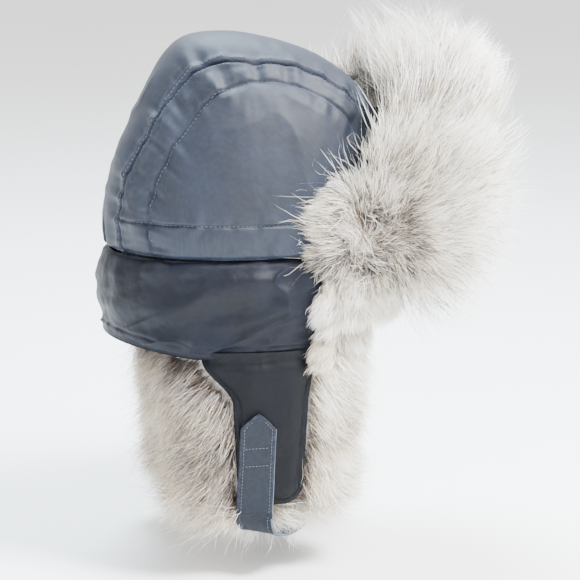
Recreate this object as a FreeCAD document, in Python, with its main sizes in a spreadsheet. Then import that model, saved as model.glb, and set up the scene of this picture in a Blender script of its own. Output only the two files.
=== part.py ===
"""Trapper hat: padded nylon crown and band, fur visor, two fur-lined ear flaps and a chin strap.

Frame: millimetres, +X to the wearer's front, +Y to the wearer's left, +Z up.
The origin is the centre of the head opening, level with the brow edge.
"""
import FreeCAD, Part
import math
import os
import Sketcher
from FreeCAD import Placement, Rotation, Vector

doc = FreeCAD.newDocument("TrapperHat")

# ---------------------------------------------------------------- driving dimensions
SIZES = {
    # outer shell: half length and half width of the oval at each height of the crown
    "base_length": 113.0, "base_width": 89.0, "base_height": 46.0,
    "low_length": 112.0, "low_width": 88.0, "low_height": 85.0, "low_shift": 1.0,
    "middle_length": 107.5, "middle_width": 84.0, "middle_height": 116.0, "middle_shift": 6.5,
    "upper_length": 94.0, "upper_width": 75.0, "upper_height": 148.0, "upper_shift": 9.0,
    "high_length": 75.5, "high_width": 60.0, "high_height": 178.0, "high_shift": 2.5,
    "top_length": 53.0, "top_width": 42.0, "top_height": 197.0, "top_shift": -8.0,
    "peak_length": 27.0, "peak_width": 21.0, "peak_height": 208.0, "peak_shift": -18.0,
    "cap_length": 7.0, "cap_width": 6.0, "cap_height": 211.0, "cap_shift": -20.0,
    # lower band: it bulges between the crown seam and its hem
    "bulge_length": 117.0, "bulge_width": 91.0, "bulge_height": 10.0,
    "hem_length": 112.0, "hem_width": 90.0, "hem_height": -30.0,
    "nape_rise": 12.0,
    # layers, outside to inside
    "nylon": 1.2, "padding": 8.0, "lining": 1.0, "layer_gap": 0.2, "sweatband": 1.5, "sweatband_width": 32.0,
    # seams of the centre panel: half widths at the nape, the top and the forehead
    "panel_nape": 30.0, "panel_top": 50.0, "panel_front": 42.0,
    "temple_front": 50.0,
    # ear flap outline
    "flap_rear": -36.0, "flap_front": 49.0, "flap_tip_rear": -24.0, "flap_tip_front": 33.0,
    "flap_bottom": -148.0, "flap_corner": 16.0, "fold_gap": 1.0, "flap_padding": 5.0,
    "fur_margin": 30.0, "fur_hem": 5.0, "fur_outer": 88.0, "fur_inner": 50.0,
    # fur along the temple
    "temple_fur_front": 88.0, "temple_fur_outer": 84.0,
    # visor
    "visor_gap": 3.0, "visor_half": 66.0, "visor_tall": 150.0, "visor_corner": 36.0, "visor_lean": 8.0,
    "stiffener": 3.0, "visor_hinge": 119.0, "visor_clear": 3.0,
    "visor_fur_shift": 98.0, "visor_fur_height": 104.0,
    "visor_fur_long": 108.0, "visor_fur_wide": 99.0, "visor_fur_tall": 130.0,
    # chin strap
    "strap_width": 28.0, "strap_ply": 1.1, "strap_face": 92.6, "tab_tip": -72.0, "tab_shoulder": -84.0,
    "tab_lean": 4.0, "tab_centre": -9.0, "patch": 0.9, "patch_gap": 0.1, "patch_margin": 3.0,
    "patch_low": -113.0, "strap_pivot": -150.0, "strap_split": 0.6, "anchor_face": 88.4, "anchor_drop": 10.0,
    # care label
    "label_width": 38.0, "label_tall": 46.0, "label_ply": 0.5, "label_depth": 18.0,
}

sheet = doc.addObject("Spreadsheet::Sheet", "Sizes")
for row, (alias, value) in enumerate(SIZES.items(), start=1):
    sheet.set(f"A{row}", alias)
    sheet.set(f"B{row}", str(value))
    sheet.setAlias(f"B{row}", alias)
doc.recompute()

NODES = []          # every object that becomes a file in parts/
SIDES = {"right": -1, "left": 1}


def size(alias):
    """A driving dimension, as a number."""
    return float(sheet.get(alias))


def bind(item, **expressions):
    """Bind properties to the sheet. Two underscores in a name stand for a dot."""
    for path, expression in expressions.items():
        item.setExpression(path.replace("__", "."), expression)
    return item


def node(item, label):
    """Keep an object as a node of the part."""
    item.Label = label
    NODES.append(item)
    return item


def combine(kind, name, base, tool):
    """Boolean of two objects: kind is Cut or Common."""
    item = doc.addObject(f"Part::{kind}", name)
    item.Base = base
    item.Tool = tool
    item.Refine = False
    return item


# ---------------------------------------------------------------- oval shells
STATIONS = ["base", "low", "middle", "upper", "high", "top", "peak", "cap"]


def oval(name, length, width, height, shift="0"):
    """Horizontal ellipse whose sizes are expressions of the sheet."""
    item = doc.addObject("Part::Ellipse", name)
    return bind(item, MajorRadius=length, MinorRadius=width, Placement__Base__z=height, Placement__Base__x=shift)


def loft(name, sections):
    """Closed solid through a stack of ovals."""
    item = doc.addObject("Part::Loft", name)
    item.Sections = sections
    item.Solid = True
    item.Ruled = False
    return item


def dome(name, inset):
    """Solid crown, its surface moved in by the expression inset."""
    sections = []
    for station in STATIONS:
        get = {key: f"Sizes.{station}_{key}" for key in ("length", "width", "height")}
        shift = "0" if station == "base" else f"Sizes.{station}_shift"
        keep = f"(1 - ({inset}) / Sizes.base_length)"
        slim = f"(1 - ({inset}) / Sizes.base_width)"
        flat = f"(1 - ({inset}) / (Sizes.cap_height - Sizes.base_height))"
        height = f"Sizes.base_height + ({get['height']} - Sizes.base_height) * {flat}"
        sections.append(oval(f"{name}_{station}", f"{get['length']} * {keep}", f"{get['width']} * {slim}",
                             height, shift))
    return loft(name, sections)


def tube(name, inset, low, high, flare="0"):
    """Solid oval column that follows the bulging band, moved in by inset, between two heights.

    The ears and the band share this surface, so below the hem it goes straight down.
    """
    rows = [
        (high, f"Sizes.base_length - ({inset})", f"Sizes.base_width - ({inset})"),
        ("Sizes.bulge_height", f"Sizes.bulge_length - ({inset})", f"Sizes.bulge_width - ({inset})"),
        (low, f"Sizes.hem_length - ({inset})", f"Sizes.hem_width - ({inset})"),
    ]
    sections = [oval(f"{name}_{index}", length, width, height)
                for index, (height, length, width) in enumerate(rows)]
    return loft(name, sections)


def shell(name, solid, outer, inner, *place):
    """Layer between two insets of the same solid."""
    return combine("Cut", name, solid(f"{name}_outer", outer, *place), solid(f"{name}_inner", inner, *place))


def block(name, x, y, z):
    """Box from three (start, length) pairs of expressions."""
    item = doc.addObject("Part::Box", name)
    bind(item, Length=x[1], Width=y[1], Height=z[1])
    return bind(item, Placement__Base__x=x[0], Placement__Base__y=y[0], Placement__Base__z=z[0])


# ---------------------------------------------------------------- sketched prisms
def value(expression):
    """Number that an expression of the sheet gives."""
    return float(sheet.evalExpression(expression))


def outline(body, name, role, points):
    """Closed polygon sketch on an origin plane. Each point is a pair of expressions, bound as distances."""
    sketch = body.newObject("Sketcher::SketchObject", name)
    plane = next(feature for feature in body.Origin.OriginFeatures if feature.Role == role)
    sketch.AttachmentSupport = [(plane, "")]
    sketch.MapMode = "FlatFace"
    corners = [Vector(value(across), value(up), 0) for across, up in points]
    count = len(corners)
    for index, corner in enumerate(corners):
        sketch.addGeometry(Part.LineSegment(corner, corners[(index + 1) % count]), False)
    for index in range(count):
        sketch.addConstraint(Sketcher.Constraint("Coincident", index, 2, (index + 1) % count, 1))
    for index, (point, corner) in enumerate(zip(points, corners)):
        for kind, expression, number in (("DistanceX", point[0], corner.x), ("DistanceY", point[1], corner.y)):
            row = sketch.addConstraint(Sketcher.Constraint(kind, -1, 1, index, 1, number))
            sketch.setExpression(f"Constraints[{row}]", expression)
    return sketch


def prism(name, role, points, length, both=False, back=False, corners=None, radius=None):
    """Body with one padded polygon. Edges along the pad that stand at the listed corners are rounded."""
    body = doc.addObject("PartDesign::Body", name)
    sketch = outline(body, f"{name}_outline", role, points)
    pad = body.newObject("PartDesign::Pad", f"{name}_pad")
    pad.Profile = sketch
    pad.SideType = "Symmetric" if both else "One side"
    pad.Reversed = back
    pad.setExpression("Length", length)
    doc.recompute()
    if corners:
        spots = [sketch.Placement.multVec(Vector(value(x), value(y), 0)) for x, y in corners]
        normal = sketch.Placement.Rotation.multVec(Vector(0, 0, 1))
        edges = []
        for index, edge in enumerate(pad.Shape.Edges, start=1):
            middle = edge.CenterOfMass
            for spot in spots:
                offset = middle - spot
                if (offset - normal * offset.dot(normal)).Length < 0.01:
                    edges.append(f"Edge{index}")
        round_off = body.newObject("PartDesign::Fillet", f"{name}_corners")
        round_off.Base = (pad, edges)
        round_off.setExpression("Radius", radius)
        doc.recompute()
    return body


def rounded(body, name, radius, keep):
    """Round the edges of a body's tip that keep(edge) accepts."""
    base = body.Tip
    edges = [f"Edge{index}" for index, edge in enumerate(base.Shape.Edges, start=1) if keep(edge)]
    item = body.newObject("PartDesign::Fillet", name)
    item.Base = (base, edges)
    item.setExpression("Radius", radius)
    doc.recompute()
    return body


# ---------------------------------------------------------------- insets of the layers
NYLON = "Sizes.nylon"
PADDING_OUT = "Sizes.nylon + Sizes.layer_gap"
PADDING_IN = "Sizes.nylon + Sizes.layer_gap + Sizes.padding"
LINING_OUT = "Sizes.nylon + 2 * Sizes.layer_gap + Sizes.padding"
LINING_IN = "Sizes.nylon + 2 * Sizes.layer_gap + Sizes.padding + Sizes.lining"
SWEAT_OUT = "Sizes.nylon + 3 * Sizes.layer_gap + Sizes.padding + Sizes.lining"
SWEAT_IN = "Sizes.nylon + 3 * Sizes.layer_gap + Sizes.padding + Sizes.lining + Sizes.sweatband"
BASE, HEM = "Sizes.base_height", "Sizes.hem_height"


# ---------------------------------------------------------------- crown
def make_crown():
    """Centre panel, two side panels, padding and lining, each a layer of the same dome."""
    reach = "Sizes.base_length * 1.1"
    points = [(f"-({reach})", "-Sizes.panel_nape"), ("0", "-Sizes.panel_top"), (reach, "-Sizes.panel_front"),
              (reach, "Sizes.panel_front"), ("0", "Sizes.panel_top"), (f"-({reach})", "Sizes.panel_nape")]
    middle = prism("CentreStrip", "XY_Plane", points, "Sizes.cap_height * 1.2")
    skin = shell("CrownSkin", dome, "0", NYLON)
    node(combine("Common", "CrownCentre", skin, middle), "crown_centre_panel")
    for side, sign in SIDES.items():
        outer = f"{sign} * Sizes.base_width * 1.2"
        inner = [(x, f"{sign} * {y}") for x, y in ((f"-({reach})", "Sizes.panel_nape"), ("0", "Sizes.panel_top"),
                                                   (reach, "Sizes.panel_front"))]
        points = inner + [(reach, outer), (f"-({reach})", outer)]
        wedge = prism(f"Side_{side}", "XY_Plane", points, "Sizes.cap_height * 1.2")
        own_skin = shell(f"CrownSkin_{side}", dome, "0", NYLON)
        node(combine("Common", f"CrownSide_{side}", own_skin, wedge), f"crown_side_panel_{side}")
    node(shell("CrownPadding", dome, PADDING_OUT, PADDING_IN), "crown_padding")
    node(shell("CrownLining", dome, LINING_OUT, LINING_IN), "crown_lining")


# ---------------------------------------------------------------- band, forehead and sweatband
def side_view(name, points):
    """Prism over a polygon in the side view, across the whole hat."""
    return prism(name, "XZ_Plane", points, "Sizes.base_width * 3", both=True)


def make_band():
    """Lower band round the sides and nape, forehead panel, padding, lining, sweatband and label."""
    back, front = "-Sizes.base_length * 1.2", "Sizes.base_length * 1.2"
    top = f"{BASE} - Sizes.layer_gap"
    nape = f"{HEM} + Sizes.nape_rise"
    hem = [(back, top), (back, nape), ("-Sizes.base_length / 2", HEM), ("Sizes.temple_front", HEM)]
    sides = hem + [("Sizes.temple_front", top)]
    brow_start = "Sizes.temple_front + Sizes.layer_gap"
    brow = [(brow_start, "0"), (front, "0"), (front, top), (brow_start, top)]
    whole = hem + [("Sizes.temple_front", "0"), (front, "0"), (front, top)]
    place = (HEM, BASE)
    node(combine("Common", "Band", shell("BandSkin", tube, "0", NYLON, *place), side_view("BandSides", sides)),
         "band_shell")
    node(combine("Common", "Forehead", shell("BrowSkin", tube, "0", NYLON, *place), side_view("Brow", brow)),
         "forehead_panel")
    node(combine("Common", "BandPadding", shell("BandFill", tube, PADDING_OUT, PADDING_IN, *place),
                 side_view("BandFillTrim", whole)), "band_padding")
    node(combine("Common", "BandLining", shell("BandInside", tube, LINING_OUT, LINING_IN, *place),
                 side_view("BandInsideTrim", whole)), "band_lining")
    rim = [(back, "0"), (front, "0"), (front, "Sizes.sweatband_width"), (back, "Sizes.sweatband_width")]
    node(combine("Common", "Sweatband", shell("SweatLayer", tube, SWEAT_OUT, SWEAT_IN, *place),
                 side_view("SweatTrim", rim)), "sweatband")
    label = block("Label", ("-Sizes.low_length + Sizes.low_shift + Sizes.label_depth", "Sizes.label_ply"),
                  ("-Sizes.label_width / 2", "Sizes.label_width"), (BASE, "Sizes.label_tall"))
    node(label, "care_label")


# ---------------------------------------------------------------- ear flaps and temple fur
FOLD = "Sizes.hem_height - Sizes.fold_gap"


def column(name, inset):
    """Straight oval column under the hem, moved in by inset."""
    length, width = f"Sizes.hem_length - ({inset})", f"Sizes.hem_width - ({inset})"
    return loft(name, [oval(f"{name}_{index}", length, width, height)
                       for index, height in enumerate(("0", "Sizes.flap_bottom * 1.3"))])


def flap_prism(name, side, margin, hem, start, length, corner):
    """Prism over the ear flap's outline, grown by margin at the sides and hem at the bottom."""
    points = [(f"Sizes.flap_rear - ({margin})", FOLD), (f"Sizes.flap_front + ({margin})", FOLD),
              (f"Sizes.flap_tip_front + ({margin})", f"Sizes.flap_bottom - ({hem})"),
              (f"Sizes.flap_tip_rear - ({margin})", f"Sizes.flap_bottom - ({hem})")]
    body = prism(name, "XZ_Plane", points, length, back=SIDES[side] > 0, corners=points[2:], radius=corner)
    return bind(body, Placement__Base__y=f"{SIDES[side]} * ({start})")


def make_ear_flap(side):
    """Nylon outer, padding and fur lining of one ear flap."""
    wide = "Sizes.hem_width"
    outer = flap_prism(f"FlapCut_{side}", side, "0", "0", "Sizes.hem_width / 3", wide, "Sizes.flap_corner")
    node(combine("Common", f"FlapShell_{side}", shell(f"FlapSkin_{side}", column, "0", NYLON), outer),
         f"ear_flap_shell_{side}")
    inner = flap_prism(f"FlapFillCut_{side}", side, "-Sizes.padding / 3", "-Sizes.padding / 3",
                       "Sizes.hem_width / 3", wide, "Sizes.flap_corner")
    fill = shell(f"FlapFill_{side}", column, PADDING_OUT, "Sizes.nylon + Sizes.layer_gap + Sizes.flap_padding")
    node(combine("Common", f"FlapPadding_{side}", fill, inner), f"ear_flap_padding_{side}")
    fur = flap_prism(f"FlapFur_{side}", side, "Sizes.fur_margin", "Sizes.fur_hem", "Sizes.fur_inner",
                     "Sizes.fur_outer - Sizes.fur_inner", "Sizes.fur_margin")
    rounded(fur, f"FlapFurRim_{side}", "Sizes.fur_margin / 2.5",
            lambda edge: edge.BoundBox.YLength < 0.01 and abs(edge.BoundBox.YMin) < 0.01
            and edge.BoundBox.ZMin < value(FOLD) - 0.01)
    recess = flap_prism(f"FlapRecess_{side}", side, "Sizes.nylon", "Sizes.nylon", "Sizes.hem_width / 3", wide,
                        "Sizes.flap_corner")
    backing = column(f"FlapBacking_{side}", "Sizes.nylon + 2 * Sizes.layer_gap + Sizes.flap_padding")
    pocket = combine("Cut", f"FlapPocket_{side}", recess, backing)
    node(combine("Cut", f"FlapPelt_{side}", fur, pocket), f"ear_flap_fur_{side}")


def make_temple_fur(side):
    """Fur along the temple edge, between the brow and the ear flap's fold."""
    low, high = "Sizes.hem_height + Sizes.layer_gap", "-Sizes.fold_gap"
    start = "Sizes.temple_front + Sizes.fold_gap"
    points = [(start, low), ("Sizes.temple_fur_front - Sizes.fold_gap * 4", low),
              ("Sizes.temple_fur_front", high), (start, high)]
    body = prism(f"TempleFur_{side}", "XZ_Plane", points, "Sizes.temple_fur_outer - Sizes.fur_inner",
                 back=SIDES[side] > 0)
    bind(body, Placement__Base__y=f"{SIDES[side]} * Sizes.fur_inner")
    rounded(body, f"TempleFurEdges_{side}", "Sizes.fur_hem * 1.6",
            lambda edge: edge.BoundBox.XLength < 5 and edge.BoundBox.XMin > value(start) + 1
            and edge.BoundBox.YLength < 0.01)
    node(body, f"temple_fur_{side}")


# ---------------------------------------------------------------- visor
def visor_oval(name, out):
    """Oval column in front of the band, moved out by the expression out, leaning about the brow."""
    length = f"Sizes.bulge_length + Sizes.visor_gap + ({out})"
    width = f"Sizes.bulge_width + Sizes.visor_gap + ({out})"
    item = doc.addObject("Part::Extrusion", name)
    item.Base = oval(f"{name}_oval", length, width, "-Sizes.visor_tall / 2")
    item.DirMode = "Custom"
    item.Dir = Vector(0, 0, 1)
    item.Solid = True
    bind(item, LengthFwd="Sizes.visor_tall * 3")
    return lean(item)


def lean(item):
    """Tilt an object forward about the visor's fold."""
    fold = Vector(size("visor_hinge"), 0, 0)
    item.Placement = Placement(Vector(), Rotation(Vector(0, 1, 0), size("visor_lean")), fold).multiply(item.Placement)
    return item


def visor_layer(name, start, stop, inset):
    """Layer of the visor between two oval columns, within the rounded outline drawn in by inset."""
    half, top = f"Sizes.visor_half - ({inset})", f"Sizes.visor_tall - ({inset})"
    low = f"Sizes.visor_clear + ({inset})"
    points = [(f"-({half})", low), (half, low), (half, top), (f"-({half})", top)]
    body = prism(f"{name}_outline", "YZ_Plane", points, "Sizes.base_length * 2", corners=points,
                 radius="Sizes.visor_corner")
    wall = combine("Cut", f"{name}_wall", visor_oval(f"{name}_front", stop), visor_oval(f"{name}_back", start))
    return combine("Common", name, wall, lean(body))


def make_visor():
    """Nylon back, stiffener and fur of the visor."""
    gap = "Sizes.layer_gap"
    node(visor_layer("VisorShell", "0", NYLON, "0"), "visor_shell")
    node(visor_layer("VisorCore", f"Sizes.nylon + {gap}", f"Sizes.nylon + {gap} + Sizes.stiffener", "Sizes.stiffener"),
         "visor_stiffener")
    bulk = doc.addObject("Part::Ellipsoid", "VisorFurBulk")
    bind(bulk, Radius2="Sizes.visor_fur_long", Radius3="Sizes.visor_fur_wide", Radius1="Sizes.visor_fur_tall",
         Placement__Base__x="Sizes.visor_fur_shift", Placement__Base__z="Sizes.visor_fur_height")
    back = visor_oval("VisorFurBack", f"Sizes.nylon + 2 * {gap} + Sizes.stiffener")
    front = combine("Cut", "VisorFurFront", bulk, back)
    above = block("VisorFurAbove", ("0", "Sizes.base_length * 3"), ("-Sizes.base_length * 2", "Sizes.base_length * 4"),
                  ("Sizes.visor_clear", "Sizes.base_length * 3"))
    node(combine("Common", "VisorFur", front, above), "visor_fur")


# ---------------------------------------------------------------- chin strap
STRAP_STEPS = 3     # rings of the strap to each leg of its route
# Middle line of the free strap, from the right ear flap's edge to the stub on the left one, each point with
# the turn of the strap's width away from +X, in degrees, seen from above.
STRAP_ROUTE = [
    ((-13.0, -93.7, -152.2), 0), ((-13.5, -93.7, -158.0), 10), ((-8.0, -91.5, -167.0), 34),
    ((4.0, -80.0, -173.0), 44), ((20.0, -55.0, -176.0), 30), ((33.0, -28.0, -178.0), 15),
    ((38.0, 0.0, -179.0), 0), ((33.0, 28.0, -178.0), -15), ((20.0, 55.0, -176.0), -30),
    ((5.0, 79.0, -173.5), -36), ((-3.0, 88.4, -168.0), -18), ((-4.0, 89.5, -160.2), 0),
]


def strap_slope(stop):
    """Direction of the route at one of its points: straight down at its start, straight up at its end."""
    if stop == 0:
        return Vector(0, 0, -1)
    if stop == len(STRAP_ROUTE) - 1:
        return Vector(0, 0, 1)
    before, after = Vector(*STRAP_ROUTE[stop - 1][0]), Vector(*STRAP_ROUTE[stop + 1][0])
    return (after - before).normalize()


def strap_leg(leg):
    """Curve from one point of the route to the next."""
    start, end = Vector(*STRAP_ROUTE[leg][0]), Vector(*STRAP_ROUTE[leg + 1][0])
    handle = start.distanceToPoint(end) / 3
    curve = Part.BezierCurve()
    curve.setPoles([start, start + strap_slope(leg) * handle, end - strap_slope(leg + 1) * handle, end])
    return curve


def strap_ring(curve, share, turn, inner, outer):
    """Rectangle across the strap at one place on a leg, between two distances from its middle line."""
    half = size("strap_width") / 2
    at = curve.value(share)
    along = Vector(*curve.tangent(share)[0])
    across = Vector(math.cos(turn), -math.sin(turn), 0)
    across = (across - along * across.dot(along)).normalize()
    out = across.cross(along).normalize()
    corners = [at + across * side * half + out * depth
               for side, depth in ((-1, inner), (1, inner), (1, outer), (-1, outer))]
    return Part.makePolygon(corners + corners[:1])


def strap_ply(name, inner, outer):
    """One ply of the strap, between two distances from its middle line, swept along the route."""
    rings = []
    last = len(STRAP_ROUTE) - 2
    for leg in range(last + 1):
        first_turn, next_turn = STRAP_ROUTE[leg][1], STRAP_ROUTE[leg + 1][1]
        for step in range(STRAP_STEPS + (leg == last)):
            share = step / STRAP_STEPS
            turn = math.radians(first_turn + (next_turn - first_turn) * share)
            rings.append(strap_ring(strap_leg(leg), share, turn, inner, outer))
    item = doc.addObject("Part::Feature", name)
    item.Shape = Part.makeLoft(rings, True, True)
    item.Placement = Placement(Vector(), Rotation())
    return item


def plate(name, points, face, thick):
    """Flat plate on the outside of the right ear flap, its inner face at the distance face."""
    body = prism(name, "XZ_Plane", points, thick)
    return bind(body, Placement__Base__y=f"-({face})")


def make_strap():
    """Pointed end with its hook-and-loop pair, the two plies of the free strap, and the stub it runs to."""
    half, middle, slant = "Sizes.strap_width / 2", "Sizes.tab_centre", "Sizes.tab_lean"
    low = "Sizes.strap_pivot"
    end = [(middle, "Sizes.tab_tip"), (f"{middle} + {half}", "Sizes.tab_shoulder"),
           (f"{middle} + {half} - {slant}", low), (f"{middle} - {half} - {slant}", low),
           (f"{middle} - {half}", "Sizes.tab_shoulder")]
    node(plate("StrapEnd", end, "Sizes.strap_face", "2 * Sizes.strap_ply"), "chin_strap_end")
    inset = f"{half} - Sizes.patch_margin"
    patch = [(f"{middle} - {slant} / 2 - ({inset})", "Sizes.tab_shoulder"),
             (f"{middle} - {slant} / 2 + ({inset})", "Sizes.tab_shoulder"),
             (f"{middle} - {slant} / 2 + ({inset})", "Sizes.patch_low"),
             (f"{middle} - {slant} / 2 - ({inset})", "Sizes.patch_low")]
    hook_face = "Sizes.strap_face - Sizes.patch_gap - Sizes.patch"
    node(plate("HookPatch", patch, hook_face, "Sizes.patch"), "hook_patch")
    node(plate("LoopPatch", patch, f"{hook_face} - Sizes.patch_gap - Sizes.patch", "Sizes.patch"), "loop_patch")
    gap = size("patch_gap") / 4
    node(strap_ply("StrapOuter", gap, size("strap_ply")), "chin_strap_outer")
    node(strap_ply("StrapBacking", -size("strap_ply"), -gap), "chin_strap_backing")
    foot = "Sizes.flap_bottom - Sizes.strap_split"
    stub = block("StrapStub", (f"{middle} + 5 - {half}", "Sizes.strap_width"),
                 ("Sizes.anchor_face", "2 * Sizes.strap_ply"),
                 (f"{foot} - Sizes.anchor_drop", "Sizes.anchor_drop"))
    node(stub, "chin_strap_stub")


# ---------------------------------------------------------------- build, test and write
def build():
    """Make every sub-part, stop on a failed one, and write each to its own file."""
    make_crown()
    make_band()
    for side in SIDES:
        make_ear_flap(side)
        make_temple_fur(side)
    make_visor()
    make_strap()
    doc.recompute()
    for item in doc.Objects:
        if "Invalid" in item.State or "Error" in item.State:
            raise RuntimeError(f"{item.Name} failed: {item.State}")
    os.makedirs("parts", exist_ok=True)
    for item in NODES:
        shape = item.Shape
        if shape.isNull() or not shape.isValid() or not shape.Solids:
            raise RuntimeError(f"{item.Label} has no valid solid")
        shape.exportStep(f"parts/{item.Label}.step")
        box = shape.BoundBox
        print(f"{item.Label:26s} {len(shape.Solids)} solid {shape.Volume / 1000:9.1f} cm3  "
              f"x {box.XMin:7.1f} {box.XMax:7.1f}  y {box.YMin:7.1f} {box.YMax:7.1f}  "
              f"z {box.ZMin:7.1f} {box.ZMax:7.1f}")


build()
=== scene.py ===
"""A quilted nylon trapper hat with a pale long-haired fur visor, fur-faced ear flaps and a chin strap."""
import math
import bpy
import numpy as np
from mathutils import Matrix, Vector
from mathutils.kdtree import KDTree


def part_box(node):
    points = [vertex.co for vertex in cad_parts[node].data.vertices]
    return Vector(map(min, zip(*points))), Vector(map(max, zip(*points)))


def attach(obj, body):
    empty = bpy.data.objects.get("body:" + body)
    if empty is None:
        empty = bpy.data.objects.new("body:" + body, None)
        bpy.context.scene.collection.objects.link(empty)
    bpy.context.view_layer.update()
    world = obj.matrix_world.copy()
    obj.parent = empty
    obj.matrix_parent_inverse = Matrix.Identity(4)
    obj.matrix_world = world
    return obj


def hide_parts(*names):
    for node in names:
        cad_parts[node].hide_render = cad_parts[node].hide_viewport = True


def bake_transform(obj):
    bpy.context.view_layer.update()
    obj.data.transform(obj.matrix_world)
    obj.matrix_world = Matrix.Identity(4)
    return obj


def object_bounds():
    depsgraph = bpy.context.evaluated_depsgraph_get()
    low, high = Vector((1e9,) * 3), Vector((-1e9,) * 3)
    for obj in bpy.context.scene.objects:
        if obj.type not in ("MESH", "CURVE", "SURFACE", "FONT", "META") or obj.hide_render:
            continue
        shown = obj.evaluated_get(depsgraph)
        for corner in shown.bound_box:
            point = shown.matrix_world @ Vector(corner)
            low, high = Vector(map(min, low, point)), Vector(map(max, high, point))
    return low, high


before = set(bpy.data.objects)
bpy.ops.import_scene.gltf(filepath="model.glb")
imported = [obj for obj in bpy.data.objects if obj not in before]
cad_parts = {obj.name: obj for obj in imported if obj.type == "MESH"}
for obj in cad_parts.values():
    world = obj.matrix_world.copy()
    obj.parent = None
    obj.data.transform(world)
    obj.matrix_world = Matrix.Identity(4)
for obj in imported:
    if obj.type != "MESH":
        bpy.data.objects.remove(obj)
cad_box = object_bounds()

MM = 0.001
RIGHT, LEFT = -1, 1
SIDES = ((RIGHT, "right"), (LEFT, "left"))

# ---------------------------------------------------------------- camera, light and floor
VIEW_AZIMUTH, VIEW_ELEVATION = math.radians(-13), math.radians(12)
AIM, DISTANCE, LENS = Vector((35, -8, 5)) * MM, 1.6, 124
FLOOR_Z, FLOOR_HALF = -0.204, 14
LAMP_TARGET = (0.03, 0, 0)
WORLD_LIGHT = 1.75


def aimed(obj, place, target):
    obj.location = place
    obj.rotation_euler = (Vector(target) - Vector(place)).to_track_quat("-Z", "Y").to_euler()
    bpy.context.scene.collection.objects.link(obj)
    return obj


def lamp(name, place, size, watts, colour=(1, 1, 1)):
    light = bpy.data.lights.new(name, "AREA")
    light.size, light.energy, light.color = size, watts, colour
    return aimed(bpy.data.objects.new(name, light), place, LAMP_TARGET)


forward = Vector((-math.sin(VIEW_AZIMUTH), math.cos(VIEW_AZIMUTH), 0)) * math.cos(VIEW_ELEVATION)
forward.z = -math.sin(VIEW_ELEVATION)
camera = bpy.data.cameras.new("camera")
camera.lens = LENS
camera.clip_start = 0.05
bpy.context.scene.camera = aimed(bpy.data.objects.new("camera", camera), AIM - forward * DISTANCE, AIM)

lamp("key", (1.0, -0.75, 1.6), 0.6, 190)
lamp("fill", (-1.2, -0.8, 0.9), 1.0, 4, (0.86, 0.93, 1))
lamp("back", (0.0, 0.7, 1.8), 0.9, 140, (0.7, 0.87, 1))

world = bpy.data.worlds.new("studio")
world.use_nodes = True
world.node_tree.nodes["Background"].inputs["Color"].default_value = (1, 1, 1, 1)
world.node_tree.nodes["Background"].inputs["Strength"].default_value = WORLD_LIGHT
bpy.context.scene.world = world


# ---------------------------------------------------------------- numbers and noise
def unit(v):
    return v / np.maximum(np.linalg.norm(v, axis=-1, keepdims=True), 1e-12)


def smooth_step(low, high, x):
    t = np.clip((x - low) / (high - low), 0, 1)
    return t * t * (3 - 2 * t)


def smooth_table(x, xs, ys):
    """Smooth curve through the points (xs, ys), read at x."""
    xs, ys = np.asarray(xs, float), np.asarray(ys, float)
    slope = np.gradient(ys, xs)
    x = np.clip(x, xs[0], xs[-1])
    i = np.clip(np.searchsorted(xs, x) - 1, 0, len(xs) - 2)
    span = xs[i + 1] - xs[i]
    t = (x - xs[i]) / span
    return ((2 * t**3 - 3 * t**2 + 1) * ys[i] + (t**3 - 2 * t**2 + t) * span * slope[i]
            + (3 * t**2 - 2 * t**3) * ys[i + 1] + (t**3 - t**2) * span * slope[i + 1])


LATTICE = np.random.default_rng(7).random((32, 32, 32)) * 2 - 1


def noise(p, size, seed=0):
    """Smooth noise from -1 to 1 with lumps of the given size."""
    q = np.asarray(p) / size + 16 + seed * 7.31
    cell = np.floor(q).astype(int)
    t = q - cell
    t = t * t * (3 - 2 * t)
    total = 0
    for dx in (0, 1):
        for dy in (0, 1):
            for dz in (0, 1):
                weight = ((t[..., 0] if dx else 1 - t[..., 0]) * (t[..., 1] if dy else 1 - t[..., 1])
                          * (t[..., 2] if dz else 1 - t[..., 2]))
                corner = (cell + (dx, dy, dz)) % 32
                total = total + weight * LATTICE[corner[..., 0], corner[..., 1], corner[..., 2]]
    return total


def rough(p, size, seed=0, layers=3):
    return sum(noise(p, size / 2**k, seed + k) / 2**k for k in range(layers))


def swirl(p, size, seeds):
    """A noise of its own in each of the three directions."""
    return np.stack([noise(p, size, seed) for seed in seeds], -1)


def ridged(p, size, seed=0):
    """Sharp-crested creases from 0 to 1."""
    return (1 - np.abs(noise(p, size, seed))) ** 3


# ---------------------------------------------------------------- materials
def linear(rgb):
    """Linear colour of an 8-bit display colour."""
    c = np.asarray(rgb, float) / 255
    return tuple(np.where(c <= 0.04045, c / 12.92, ((c + 0.055) / 1.055) ** 2.4)) + (1.0,)


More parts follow.
